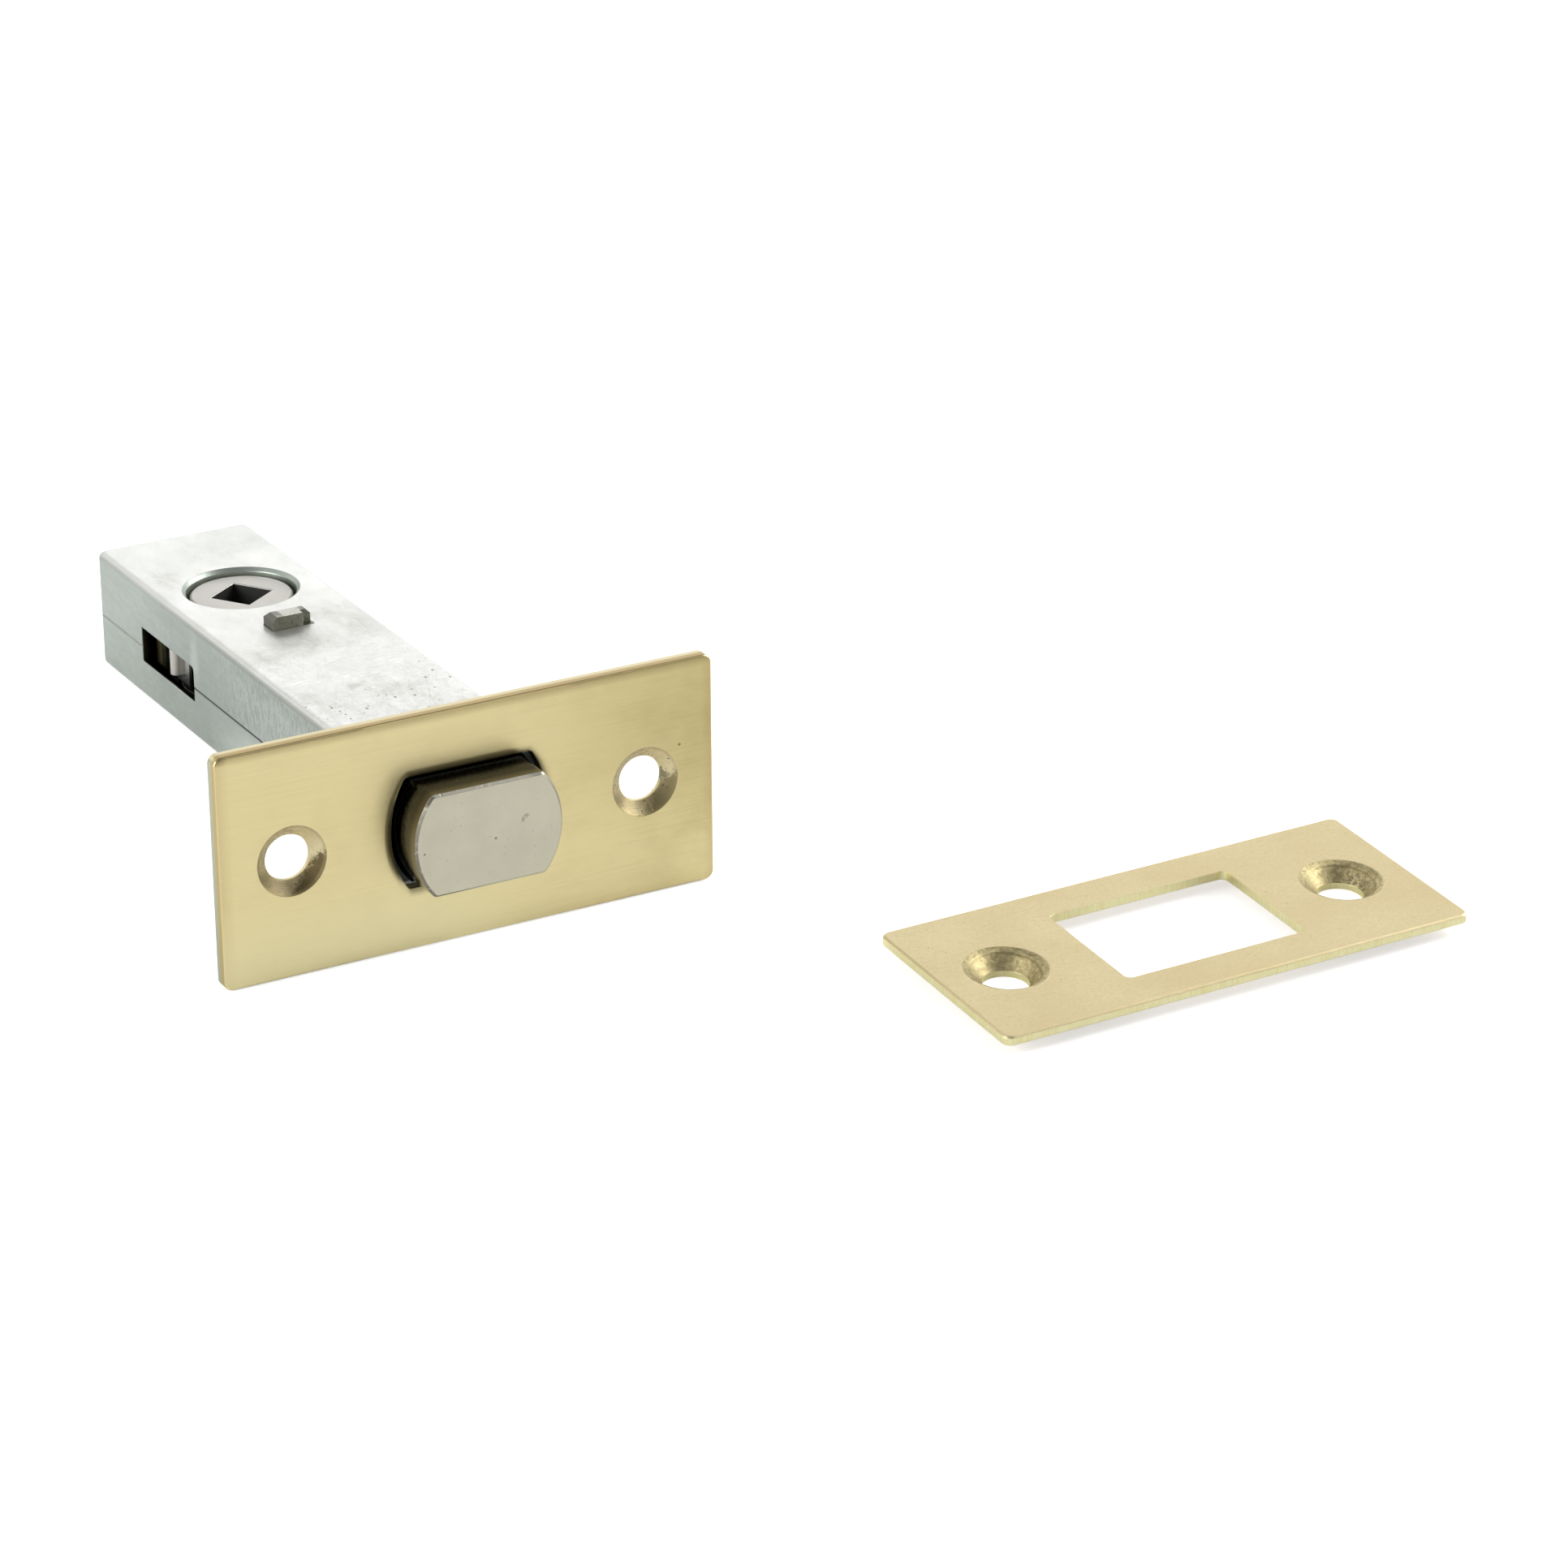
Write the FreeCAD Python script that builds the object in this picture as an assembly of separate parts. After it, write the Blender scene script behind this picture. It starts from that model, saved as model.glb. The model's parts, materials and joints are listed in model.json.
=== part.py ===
import FreeCAD, Part

import math
import os

from FreeCAD import Placement, Rotation, Vector

# Bathroom deadbolt with its strike plate. Millimetres.
# Origin: centre of the face plate's front face. X runs along the face plate, +Y goes into the
# door towards the rear of the case, +Z is the axis of the spindle. The bolt is thrown along -Y.
# The bolt is modelled part way out, by as much as REST_TURN of the follower's quarter turn gives.

# Face plate
PLATE_LENGTH = 57.0
PLATE_HEIGHT = 25.8
PLATE_THICKNESS = 1.6
PLATE_CORNER = 1.0
PLATE_ARRIS = 0.25
PLATE_SCREW_SPACING = 40.8
PLATE_SCREW_HOLE = 5.0
PLATE_SINK_DIAMETER = 7.8
PLATE_SINK_DEPTH = 1.2
PLATE_OPENING_GAP = 0.55
PLATE_OPENING_ARC = 12.0
PLATE_OPENING_CORNER = 0.6
PLATE_ROLL_WIDTH = 0.9
PLATE_ROLL_DEPTH = 0.35

# Case
CASE_WIDTH = 18.5
CASE_HEIGHT = 13.8
CASE_END = 76.0
CASE_ARRIS = 0.8
CASE_REAR_ARRIS = 0.5
CASE_SIDE_WALL = 1.75
CASE_FLAT_WALL = 1.5
CASE_REAR_WALL = 1.7
PARTING_LEVEL = -0.75
PARTING_BEVEL = 0.12
SPIGOT_LENGTH = 0.3
SPIGOT_GAP = 0.05

# Bolt head and its tail
BOLT_WIDTH = 17.0
BOLT_HEIGHT = 11.4
BOLT_ARC = 8.7
BOLT_LENGTH = 27.0
BOLT_NOSE_BEVEL = 0.27
BOLT_CORNER = 0.7
BOLT_GAP = 0.25
THROW = 11.0
TAIL_HEIGHT = 6.4
TAIL_GAP = 0.3
TONGUE_WIDTH = 9.0
TONGUE_LENGTH = 9.0
TONGUE_GAP = 0.05
TAIL_PIN_DIAMETER = 3.0
TAIL_PIN_SETBACK = 4.5
TAIL_EDGE = 0.5
ARM_WIDTH = 2.4
LEG_LENGTH = 8.0
NOTCH_PLAY = 0.5
NOTCH_BEVEL = 1.1

# Pads on the tail's arm before and behind its slot, which bear on the wall of the case
PAD_RELIEF = 0.8
FRONT_PAD_LENGTH = 1.75
ARM_RELIEF_LENGTH = 17.0
REAR_GROOVE_LENGTH = 2.85
REAR_PAD_LENGTH = 2.6

# Follower, turned by the spindle
BACKSET = 57.0
MECHANISM_LEVEL = -0.4
QUARTER_TURN = 90.0
REST_TURN = 34.8
SPINDLE_SQUARE = 5.0
SPINDLE_SQUARE_BEVEL = 0.1
JOURNAL_DIAMETER = 11.5
JOURNAL_GAP = 0.45
JOURNAL_RECESS = 0.7
JOURNAL_BEVEL = 0.2
FLANGE_DIAMETER = 14.2
FLANGE_THICKNESS = 1.0
FLANGE_GAP = 0.2
BARREL_DIAMETER = 8.8
BARREL_GAP = 0.4
LEVER_WIDTH = 1.3
LEVER_HEIGHT = 3.8
LEVER_GAP = 0.2
LEVER_TIP_DIAMETER = 1.4
BORE_BOSS_DIAMETER = 16.6
BORE_EDGE = 0.4

# Side window, which the lever's tip sweeps through
WINDOW_HEIGHT = 4.15
WINDOW_GAP = 1.0
WINDOW_CORNER = 0.5
WINDOW_LAND = 0.2
WINDOW_OVERCUT = 0.5

# Pillar that holds the two halves of the case together
PILLAR_LENGTH = 4.9
PILLAR_THICKNESS = 2.5
PILLAR_SETBACK = 12.7
PILLAR_GAP = 0.05
PILLAR_TOP_HEAD = 1.5
PILLAR_LOW_HEAD = 0.9
PILLAR_HEAD_BEVEL = 0.55
PILLAR_NICK_LENGTH = 1.3
PILLAR_NICK_DEPTH = 0.9
PILLAR_PAD_RIM = 1.4
STOP_GAP = 0.3

# Ribs that guide the tail
RIB_WIDTH = 1.4
RIB_INSET = 1.2

# Detent that holds the follower at each end of its turn
PLUNGER_DIAMETER = 3.0
PLUNGER_LENGTH = 5.0
PLUNGER_GAP = 0.08
PLUNGER_NOSE_GAP = 0.3
PLUNGER_NOSE_BEVEL = 0.9
PLUNGER_STEM_DIAMETER = 1.3
PLUNGER_STEM_LENGTH = 1.6
DETENT_NOTCH_DIAMETER = 3.6
DETENT_NOTCH_DEPTH = 0.5
DETENT_BLOCK_WIDTH = 6.4
DETENT_BLOCK_LENGTH = 3.0
SPRING_WIRE = 0.5
SPRING_DIAMETER = 3.0
SPRING_TURNS = 4
SPRING_WIRE_SIDES = 4
SPRING_SEAT_GAP = 0.05

# Strike plate, which lies beside the lock on the same table
STRIKE_WIDTH = 24.7
STRIKE_THICKNESS = 1.0
STRIKE_CORNER = 1.0
STRIKE_ARRIS = 0.2
STRIKE_OPENING_LENGTH = 22.6
STRIKE_OPENING_WIDTH = 15.1
STRIKE_OPENING_CORNER = 0.8
STRIKE_SCREW_SPACING = 42.5
STRIKE_SCREW_TO_END = 7.85
STRIKE_SCREW_HOLE = 5.0
STRIKE_DISH_DIAMETER = 8.6
STRIKE_DISH_DEPTH = 0.45
STRIKE_DISH_LIP = 0.35
STRIKE_SINK_DIAMETER = 7.5
STRIKE_SINK_DEPTH = 1.25
STRIKE_DIMPLE_DROP = 1.4
STRIKE_DIMPLE_FOOT = 6.8
STRIKE_DIMPLE_ROOT = 10.2
STRIKE_ALONG = 65.3
STRIKE_FORWARD = 35.4
STRIKE_TURN = 1.0

# Sizes worked out from the ones above
HALF_PLATE = PLATE_HEIGHT / 2
HALF_CASE = CASE_HEIGHT / 2
BOLT_OUT = THROW * REST_TURN / QUARTER_TURN
BOLT_BACK = BOLT_LENGTH - BOLT_OUT
LEVER_REACH = THROW / (2 * math.sin(math.radians(QUARTER_TURN / 2)))
TAIL_HALF_WIDTH = CASE_WIDTH / 2 - CASE_SIDE_WALL - TAIL_GAP
ARM_INNER = TAIL_HALF_WIDTH - ARM_WIDTH
FLANGE_LEVEL = TAIL_HEIGHT / 2 + TAIL_GAP
JOURNAL_END = HALF_CASE - JOURNAL_RECESS
PILLAR_FRONT = BACKSET - PILLAR_SETBACK - PILLAR_THICKNESS / 2
PILLAR_BACK = PILLAR_FRONT + PILLAR_THICKNESS
CHAMBER_END = BOLT_LENGTH + BOLT_GAP
NOTCH_CENTRE = BACKSET + THROW / 2 - BOLT_OUT
NOTCH_HALF = LEVER_TIP_DIAMETER / 2 + NOTCH_PLAY
ARM_END = NOTCH_CENTRE + NOTCH_HALF + REAR_GROOVE_LENGTH + REAR_PAD_LENGTH
PLUNGER_NOSE = BACKSET + BARREL_DIAMETER / 2 + PLUNGER_NOSE_GAP
DETENT_BLOCK_FRONT = PLUNGER_NOSE + PLUNGER_DIAMETER / 2 + STOP_GAP
SPRING_FRONT = PLUNGER_NOSE + PLUNGER_LENGTH + SPRING_SEAT_GAP
SPRING_BACK = CASE_END - CASE_REAR_WALL - SPRING_SEAT_GAP
STRIKE_LENGTH = STRIKE_SCREW_SPACING + 2 * STRIKE_SCREW_TO_END
FLOOR_TILT = math.degrees(math.atan2(HALF_PLATE - HALF_CASE, CASE_END - PLATE_THICKNESS))

# How far a cutter runs past the face that it opens, and how close two levels count as one
BEYOND = 2.0
SAME = 1e-4

X_AXIS = Vector(1, 0, 0)
Y_AXIS = Vector(0, 1, 0)
Z_AXIS = Vector(0, 0, 1)


def block(low, high):
    """Box between two opposite corners."""
    size = [high[i] - low[i] for i in range(3)]
    return Part.makeBox(size[0], size[1], size[2], Vector(*low))


def upright(diameter, x, y, low, high):
    """Cylinder along Z between two levels."""
    return Part.makeCylinder(diameter / 2, high - low, Vector(x, y, low), Z_AXIS)


def lengthways(diameter, x, z, front, back):
    """Cylinder along Y between two depths."""
    return Part.makeCylinder(diameter / 2, back - front, Vector(x, front, z), Y_AXIS)


def closed_face(edges):
    """Face inside a closed run of edges."""
    return Part.Face(Part.Wire(Part.__sortEdges__(edges)))


def polygon(points):
    """Face inside straight lines through the points."""
    corners = [Vector(*p) for p in points]
    return Part.Face(Part.makePolygon(corners + corners[:1]))


def square_outline(half, level):
    """Closed square line about the Z axis at one level."""
    corners = ((-half, -half), (half, -half), (half, half), (-half, half), (-half, -half))
    return Part.makePolygon([Vector(x, y, level) for x, y in corners])


def rounded_plate(length, width, thickness, corner):
    """Flat plate in XY, centred, with its underside at Z = 0 and rounded corners."""
    plate = block((-length / 2, -width / 2, 0), (length / 2, width / 2, thickness))
    uprights = [e for e in plate.Edges if abs(e.Vertexes[0].Z - e.Vertexes[1].Z) > thickness / 2]
    return plate.makeFillet(corner, uprights)


def edges_at(shape, axis, level):
    """Edges of the shape that lie in the plane where the axis has this level."""
    found = []
    for edge in shape.Edges:
        box = edge.BoundBox
        low, high = {"X": (box.XMin, box.XMax), "Y": (box.YMin, box.YMax), "Z": (box.ZMin, box.ZMax)}[axis]
        if abs(low - level) < SAME and abs(high - level) < SAME:
            found.append(edge)
    return found


def flatted_round(width, height, arc, front, back):
    """Bar along Y with flats above and below and a bulging arc on each side."""
    half_width, half_height = width / 2, height / 2
    shoulder = half_width - arc + math.sqrt(arc ** 2 - half_height ** 2)
    top_right = Vector(shoulder, front, half_height)
    low_right = Vector(shoulder, front, -half_height)
    low_left = Vector(-shoulder, front, -half_height)
    top_left = Vector(-shoulder, front, half_height)
    right = Part.Arc(top_right, Vector(half_width, front, 0), low_right).toShape()
    left = Part.Arc(low_left, Vector(-half_width, front, 0), top_left).toShape()
    low = Part.LineSegment(low_right, low_left).toShape()
    top = Part.LineSegment(top_left, top_right).toShape()
    return closed_face([right, low, left, top]).extrude(Y_AXIS * (back - front))


def countersunk(hole, sink, depth, thickness, x):
    """Cutter for a countersunk hole along Y whose mouth is at Y = 0."""
    cone = Part.makeCone(sink / 2, hole / 2, depth, Vector(x, 0, 0), Y_AXIS)
    mouth = lengthways(sink, x, 0, -BEYOND, 0)
    return lengthways(hole, x, 0, 0, thickness + BEYOND).fuse([cone, mouth])


def plate_opening(gap, front, back):
    """Form of the face plate's opening, smaller all round by the gap."""
    width = BOLT_WIDTH + 2 * (PLATE_OPENING_GAP - gap)
    height = BOLT_HEIGHT + 2 * (PLATE_OPENING_GAP - gap)
    form = flatted_round(width, height, PLATE_OPENING_ARC - gap, front, back)
    long_edges = [e for e in form.Edges if abs(e.BoundBox.YLength - (back - front)) < SAME]
    return form.makeFillet(PLATE_OPENING_CORNER - gap, long_edges)


def face_plate():
    """Brass plate with softened outer edges, a rolled opening and two countersunk holes."""
    flat = rounded_plate(PLATE_LENGTH, PLATE_HEIGHT, PLATE_THICKNESS, PLATE_CORNER)
    flat = flat.makeFillet(PLATE_ARRIS, edges_at(flat, "Z", PLATE_THICKNESS))
    plate = flat.copy()
    plate.Placement = Placement(Vector(0, PLATE_THICKNESS, 0), Rotation(X_AXIS, 90))
    plate = plate.cut(plate_opening(0, -BEYOND, PLATE_THICKNESS + BEYOND))
    mouth = [e for e in edges_at(plate, "Y", 0) if abs(e.CenterOfMass.x) < BOLT_WIDTH
             and abs(e.CenterOfMass.z) < BOLT_HEIGHT / 2 + PLATE_OPENING_GAP + SAME]
    plate = plate.makeChamfer(PLATE_ROLL_WIDTH, PLATE_ROLL_DEPTH, mouth)
    cutters = []
    for side in (-1, 1):
        x = side * PLATE_SCREW_SPACING / 2
        cutters.append(countersunk(PLATE_SCREW_HOLE, PLATE_SINK_DIAMETER, PLATE_SINK_DEPTH,
                                   PLATE_THICKNESS, x))
    return plate.cut(cutters)


def case_section(upper):
    """Outline of one half of the case, across its length, with beveled parting edges."""
    half = CASE_WIDTH / 2
    sign = 1 if upper else -1
    y = PLATE_THICKNESS
    outer = sign * HALF_CASE
    shoulder = outer - sign * CASE_ARRIS
    bevel = PARTING_LEVEL + sign * PARTING_BEVEL
    middle = CASE_ARRIS * (1 - math.sqrt(0.5))
    edges = []
    for side in (-1, 1):
        start = Vector(side * half, y, shoulder)
        centre = Vector(side * (half - middle), y, outer - sign * middle)
        end = Vector(side * (half - CASE_ARRIS), y, outer)
        edges.append(Part.Arc(start, centre, end).toShape())
        edges.append(Part.LineSegment(start, Vector(side * half, y, bevel)).toShape())
        edges.append(Part.LineSegment(Vector(side * half, y, bevel),
                                      Vector(side * (half - PARTING_BEVEL), y, PARTING_LEVEL)).toShape())
    edges.append(Part.LineSegment(Vector(-half + CASE_ARRIS, y, outer),
                                  Vector(half - CASE_ARRIS, y, outer)).toShape())
    edges.append(Part.LineSegment(Vector(-half + PARTING_BEVEL, y, PARTING_LEVEL),
                                  Vector(half - PARTING_BEVEL, y, PARTING_LEVEL)).toShape())
    return closed_face(edges)


def case_outside(upper):
    """One half of the case before it is hollowed, with the spigot that carries the face plate."""
    body = case_section(upper).extrude(Y_AXIS * (CASE_END - PLATE_THICKNESS))
    outer = HALF_CASE if upper else -HALF_CASE
    rear = [e for e in edges_at(body, "Y", CASE_END) if abs(e.CenterOfMass.z - outer) < SAME]
    body = body.makeFillet(CASE_REAR_ARRIS, rear)
    spigot = plate_opening(SPIGOT_GAP, PLATE_THICKNESS - SPIGOT_LENGTH, PLATE_THICKNESS + BEYOND)
    low, high = (PARTING_LEVEL, HALF_CASE) if upper else (-HALF_CASE, PARTING_LEVEL)
    side = CASE_WIDTH / 2
    return body.fuse(spigot.common(block((-side, 0, low), (side, CASE_END, high)))).removeSplitter()


def tail_chamber():
    """Hollow behind the bolt, less the ribs, bosses, pads and the detent block that stand in it."""
    side = CASE_WIDTH / 2 - CASE_SIDE_WALL
    top = HALF_CASE - CASE_FLAT_WALL
    back = CASE_END - CASE_REAR_WALL
    hollow = block((-side, CHAMBER_END - BEYOND, -top), (side, back, top))
    level = MECHANISM_LEVEL
    clear = TAIL_HEIGHT / 2 + TAIL_GAP
    standing = []
    pad_x = PILLAR_LENGTH / 2 + PILLAR_PAD_RIM
    block_back = DETENT_BLOCK_FRONT + DETENT_BLOCK_LENGTH
    for low, high in ((level + clear, top + BEYOND), (-top - BEYOND, level - clear)):
        for edge in (-1, 1):
            x = edge * (side - RIB_INSET - RIB_WIDTH / 2)
            standing.append(block((x - RIB_WIDTH / 2, CHAMBER_END, low), (x + RIB_WIDTH / 2, back, high)))
        standing.append(block((-pad_x, PILLAR_FRONT - PILLAR_PAD_RIM, low),
                              (pad_x, PILLAR_BACK + PILLAR_PAD_RIM, high)))
        standing.append(upright(BORE_BOSS_DIAMETER, 0, BACKSET, low, high))
    half_block = DETENT_BLOCK_WIDTH / 2
    standing.append(block((-half_block, DETENT_BLOCK_FRONT, -top - BEYOND),
                          (half_block, block_back, top + BEYOND)))
    hollow = hollow.cut(standing)
    flange_room = FLANGE_LEVEL + FLANGE_THICKNESS + FLANGE_GAP
    room = upright(FLANGE_DIAMETER + 2 * BARREL_GAP, 0, BACKSET, level - flange_room, level + flange_room)
    return hollow.fuse(room)


def case_cutters():
    """Everything that is cut out of both halves of the case."""
    chamber = flatted_round(BOLT_WIDTH + 2 * BOLT_GAP, BOLT_HEIGHT + 2 * BOLT_GAP, BOLT_ARC + BOLT_GAP,
                            -BEYOND, CHAMBER_END)
    bore = upright(JOURNAL_DIAMETER + 2 * JOURNAL_GAP, 0, BACKSET, -HALF_CASE - BEYOND, HALF_CASE + BEYOND)
    sinks = []
    rim = (JOURNAL_DIAMETER + 2 * JOURNAL_GAP) / 2
    for sign in (-1, 1):
        base = Vector(0, BACKSET, sign * (HALF_CASE - BORE_EDGE))
        sinks.append(Part.makeCone(rim, rim + BORE_EDGE, BORE_EDGE, base, Z_AXIS * sign))
    half_x = PILLAR_LENGTH / 2 + PILLAR_GAP
    pillar_hole = block((-half_x, PILLAR_FRONT - PILLAR_GAP, -HALF_CASE - BEYOND),
                        (half_x, PILLAR_BACK + PILLAR_GAP, HALF_CASE + BEYOND))
    guide = lengthways(PLUNGER_DIAMETER + 2 * PLUNGER_GAP, 0, MECHANISM_LEVEL, DETENT_BLOCK_FRONT - BEYOND,
                       DETENT_BLOCK_FRONT + DETENT_BLOCK_LENGTH + BEYOND)
    return [chamber, tail_chamber(), bore, pillar_hole, guide] + sinks + side_window()


def window_outline(x, margin):
    """Closed outline of the side window across X, larger all round by the margin."""
    half_length = THROW / 2 + LEVER_TIP_DIAMETER / 2 + WINDOW_GAP + margin
    half_height = WINDOW_HEIGHT / 2 + margin
    corners = ((-1, -1), (1, -1), (1, 1), (-1, 1), (-1, -1))
    return Part.makePolygon([Vector(x, BACKSET + along * half_length, MECHANISM_LEVEL + up * half_height)
                             for along, up in corners])


def side_window():
    """Cutters for the window in the case's side: a thin straight land, then a mouth that widens inwards."""
    outer = -CASE_WIDTH / 2
    inner = outer + CASE_SIDE_WALL + WINDOW_OVERCUT
    straight = Part.Face(window_outline(outer - BEYOND, 0)).extrude(X_AXIS * (BEYOND + WINDOW_LAND))
    top_front = [e for e in edges_at(straight, "Z", MECHANISM_LEVEL + WINDOW_HEIGHT / 2)
                 if e.BoundBox.YMax < BACKSET]
    straight = straight.makeFillet(WINDOW_CORNER, top_front)
    land_end = outer + WINDOW_LAND - SAME
    mouth = Part.makeLoft([window_outline(land_end, 0), window_outline(inner, inner - land_end)], True, True)
    return [straight, mouth]


def case_half(upper):
    """One die cast half of the case."""
    return case_outside(upper).cut(case_cutters())


def bolt_head():
    """Flatted round bar with a beveled nose and a slot in its rear for the tail."""
    bar = flatted_round(BOLT_WIDTH, BOLT_HEIGHT, BOLT_ARC, -BOLT_OUT, BOLT_BACK)
    long_edges = [e for e in bar.Edges if abs(e.BoundBox.YLength - BOLT_LENGTH) < SAME]
    bar = bar.makeFillet(BOLT_CORNER, long_edges)
    bar = bar.makeChamfer(BOLT_NOSE_BEVEL, edges_at(bar, "Y", -BOLT_OUT))
    half = TONGUE_WIDTH / 2 + TONGUE_GAP
    high = TAIL_HEIGHT / 2 + TONGUE_GAP
    slot = block((-half, BOLT_BACK - TONGUE_LENGTH - TONGUE_GAP, MECHANISM_LEVEL - high),
                 (half, BOLT_BACK + BEYOND, MECHANISM_LEVEL + high))
    return bar.cut([slot, tail_pin_form()])


def tail_pin_form():
    """Pin across the bolt head, flush with both of its flats."""
    return upright(TAIL_PIN_DIAMETER, 0, BOLT_BACK - TAIL_PIN_SETBACK, -BOLT_HEIGHT / 2, BOLT_HEIGHT / 2)


def bolt_tail():
    """Tail with a tongue for the bolt head, two legs round the pillar and a slotted arm."""
    low = MECHANISM_LEVEL - TAIL_HEIGHT / 2
    high = MECHANISM_LEVEL + TAIL_HEIGHT / 2
    half_slot = PILLAR_LENGTH / 2 + TAIL_GAP
    slot_end = PILLAR_FRONT - STOP_GAP - BOLT_OUT
    leg_end = PILLAR_BACK + LEG_LENGTH
    tongue = block((-TONGUE_WIDTH / 2, BOLT_BACK - TONGUE_LENGTH, low), (TONGUE_WIDTH / 2, BOLT_BACK, high))
    strap = block((-TAIL_HALF_WIDTH, BOLT_BACK, low), (TAIL_HALF_WIDTH, leg_end, high))
    arm = block((-TAIL_HALF_WIDTH, leg_end - BEYOND, low), (-ARM_INNER, ARM_END, high))
    tail = tongue.fuse([strap, arm]).removeSplitter()
    long_edges = [e for side in (-TAIL_HALF_WIDTH, TAIL_HALF_WIDTH) for e in edges_at(tail, "X", side)
                  if e.BoundBox.YLength > LEG_LENGTH]
    tail = tail.makeFillet(TAIL_EDGE, long_edges)
    slot = block((-half_slot, slot_end, low - BEYOND), (half_slot, leg_end + BEYOND, high + BEYOND))
    clear = BARREL_DIAMETER + 2 * BARREL_GAP
    near, far = BACKSET - BOLT_OUT, BACKSET + THROW - BOLT_OUT
    relief = [upright(clear, 0, near, low - BEYOND, high + BEYOND),
              block((-clear / 2, near, low - BEYOND), (clear / 2, far, high + BEYOND))]
    return tail.cut([slot, lever_slot(), tail_pin_form()] + relief + pad_hollows())


def pad_hollows():
    """Cutters for the shallow hollows that leave two pads on the tail's arm."""
    low = MECHANISM_LEVEL - TAIL_HEIGHT / 2 - BEYOND
    high = MECHANISM_LEVEL + TAIL_HEIGHT / 2 + BEYOND
    front_pad = NOTCH_CENTRE - NOTCH_HALF - FRONT_PAD_LENGTH
    slot_end = NOTCH_CENTRE + NOTCH_HALF
    outer = -TAIL_HALF_WIDTH
    return [block((outer - BEYOND, near, low), (outer + PAD_RELIEF, far, high))
            for near, far in ((front_pad - ARM_RELIEF_LENGTH, front_pad),
                              (slot_end, slot_end + REAR_GROOVE_LENGTH))]


def lever_slot():
    """Cutter for the slot through the tail's arm, flared towards the follower."""
    half_height = LEVER_HEIGHT / 2 + LEVER_GAP
    low = MECHANISM_LEVEL - half_height
    inner, outer = -ARM_INNER + BEYOND, -TAIL_HALF_WIDTH - BEYOND
    throat = -ARM_INNER - NOTCH_BEVEL
    mouth = NOTCH_HALF + inner - throat
    near, far = NOTCH_CENTRE - NOTCH_HALF, NOTCH_CENTRE + NOTCH_HALF
    outline = [(inner, NOTCH_CENTRE - mouth, low), (throat, near, low), (outer, near, low),
               (outer, far, low), (throat, far, low), (inner, NOTCH_CENTRE + mouth, low)]
    return polygon(outline).extrude(Z_AXIS * (2 * half_height))


def follower():
    """Hub with a journal at each end, two flanges, a lever, a square hole and two detent notches."""
    level = MECHANISM_LEVEL
    half = FLANGE_LEVEL + FLANGE_THICKNESS
    hub = upright(BARREL_DIAMETER, 0, BACKSET, -JOURNAL_END, JOURNAL_END)
    rest = REST_TURN - QUARTER_TURN / 2
    parts = []
    for sign in (-1, 1):
        near, far = level + sign * FLANGE_LEVEL, level + sign * half
        parts.append(upright(FLANGE_DIAMETER, 0, BACKSET, min(near, far), max(near, far)))
        journal = upright(JOURNAL_DIAMETER, 0, BACKSET, min(near, sign * JOURNAL_END),
                          max(near, sign * JOURNAL_END))
        parts.append(journal.makeChamfer(JOURNAL_BEVEL, edges_at(journal, "Z", sign * JOURNAL_END)))
    low, high = level - LEVER_HEIGHT / 2, level + LEVER_HEIGHT / 2
    lever = block((-LEVER_REACH, -LEVER_WIDTH / 2, low), (0, LEVER_WIDTH / 2, high))
    lever = lever.fuse(upright(LEVER_TIP_DIAMETER, -LEVER_REACH, 0, low, high))
    lever.Placement = Placement(Vector(0, BACKSET, 0), Rotation(Z_AXIS, rest))
    hub = hub.fuse(parts + [lever]).removeSplitter()
    cutters = []
    half_square = SPINDLE_SQUARE / 2
    square = block((-half_square, -half_square, -HALF_CASE), (half_square, half_square, HALF_CASE))
    cutters.append(square)
    for sign in (-1, 1):
        mouth = square_outline(half_square + SPINDLE_SQUARE_BEVEL, sign * JOURNAL_END)
        throat = square_outline(half_square, sign * (JOURNAL_END - SPINDLE_SQUARE_BEVEL))
        cutters.append(Part.makeLoft([mouth, throat], True, True))
    centre = BARREL_DIAMETER / 2 - DETENT_NOTCH_DEPTH + DETENT_NOTCH_DIAMETER / 2
    for turn in (0, QUARTER_TURN):
        angle = math.radians(QUARTER_TURN - turn)
        cutters.append(upright(DETENT_NOTCH_DIAMETER, centre * math.cos(angle), centre * math.sin(angle),
                               level - FLANGE_LEVEL, level + FLANGE_LEVEL))
    turned = Placement(Vector(0, BACKSET, 0), Rotation(Z_AXIS, REST_TURN))
    for cutter in cutters:
        cutter.Placement = turned.multiply(cutter.Placement)
    return hub.cut(cutters)


def case_pillar():
    """Rectangular steel pillar through both halves of the case, staked over at its upper end."""
    half = PILLAR_LENGTH / 2
    low, high = -HALF_CASE - PILLAR_LOW_HEAD, HALF_CASE + PILLAR_TOP_HEAD
    bar = block((-half, PILLAR_FRONT, low), (half, PILLAR_BACK, high))
    short_ends = [e for level in (low, high) for e in edges_at(bar, "Z", level)
                  if abs(e.Vertexes[0].X - e.Vertexes[1].X) < SAME]
    rear_edge = [e for e in edges_at(bar, "Z", high) if e.BoundBox.YMin > PILLAR_BACK - SAME]
    bar = bar.makeChamfer(PILLAR_HEAD_BEVEL, short_ends + rear_edge)
    nick = block((half - PILLAR_NICK_LENGTH, PILLAR_FRONT - BEYOND, HALF_CASE),
                 (half + BEYOND, PILLAR_FRONT + PILLAR_NICK_DEPTH, high + BEYOND))
    return bar.cut(nick)


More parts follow.
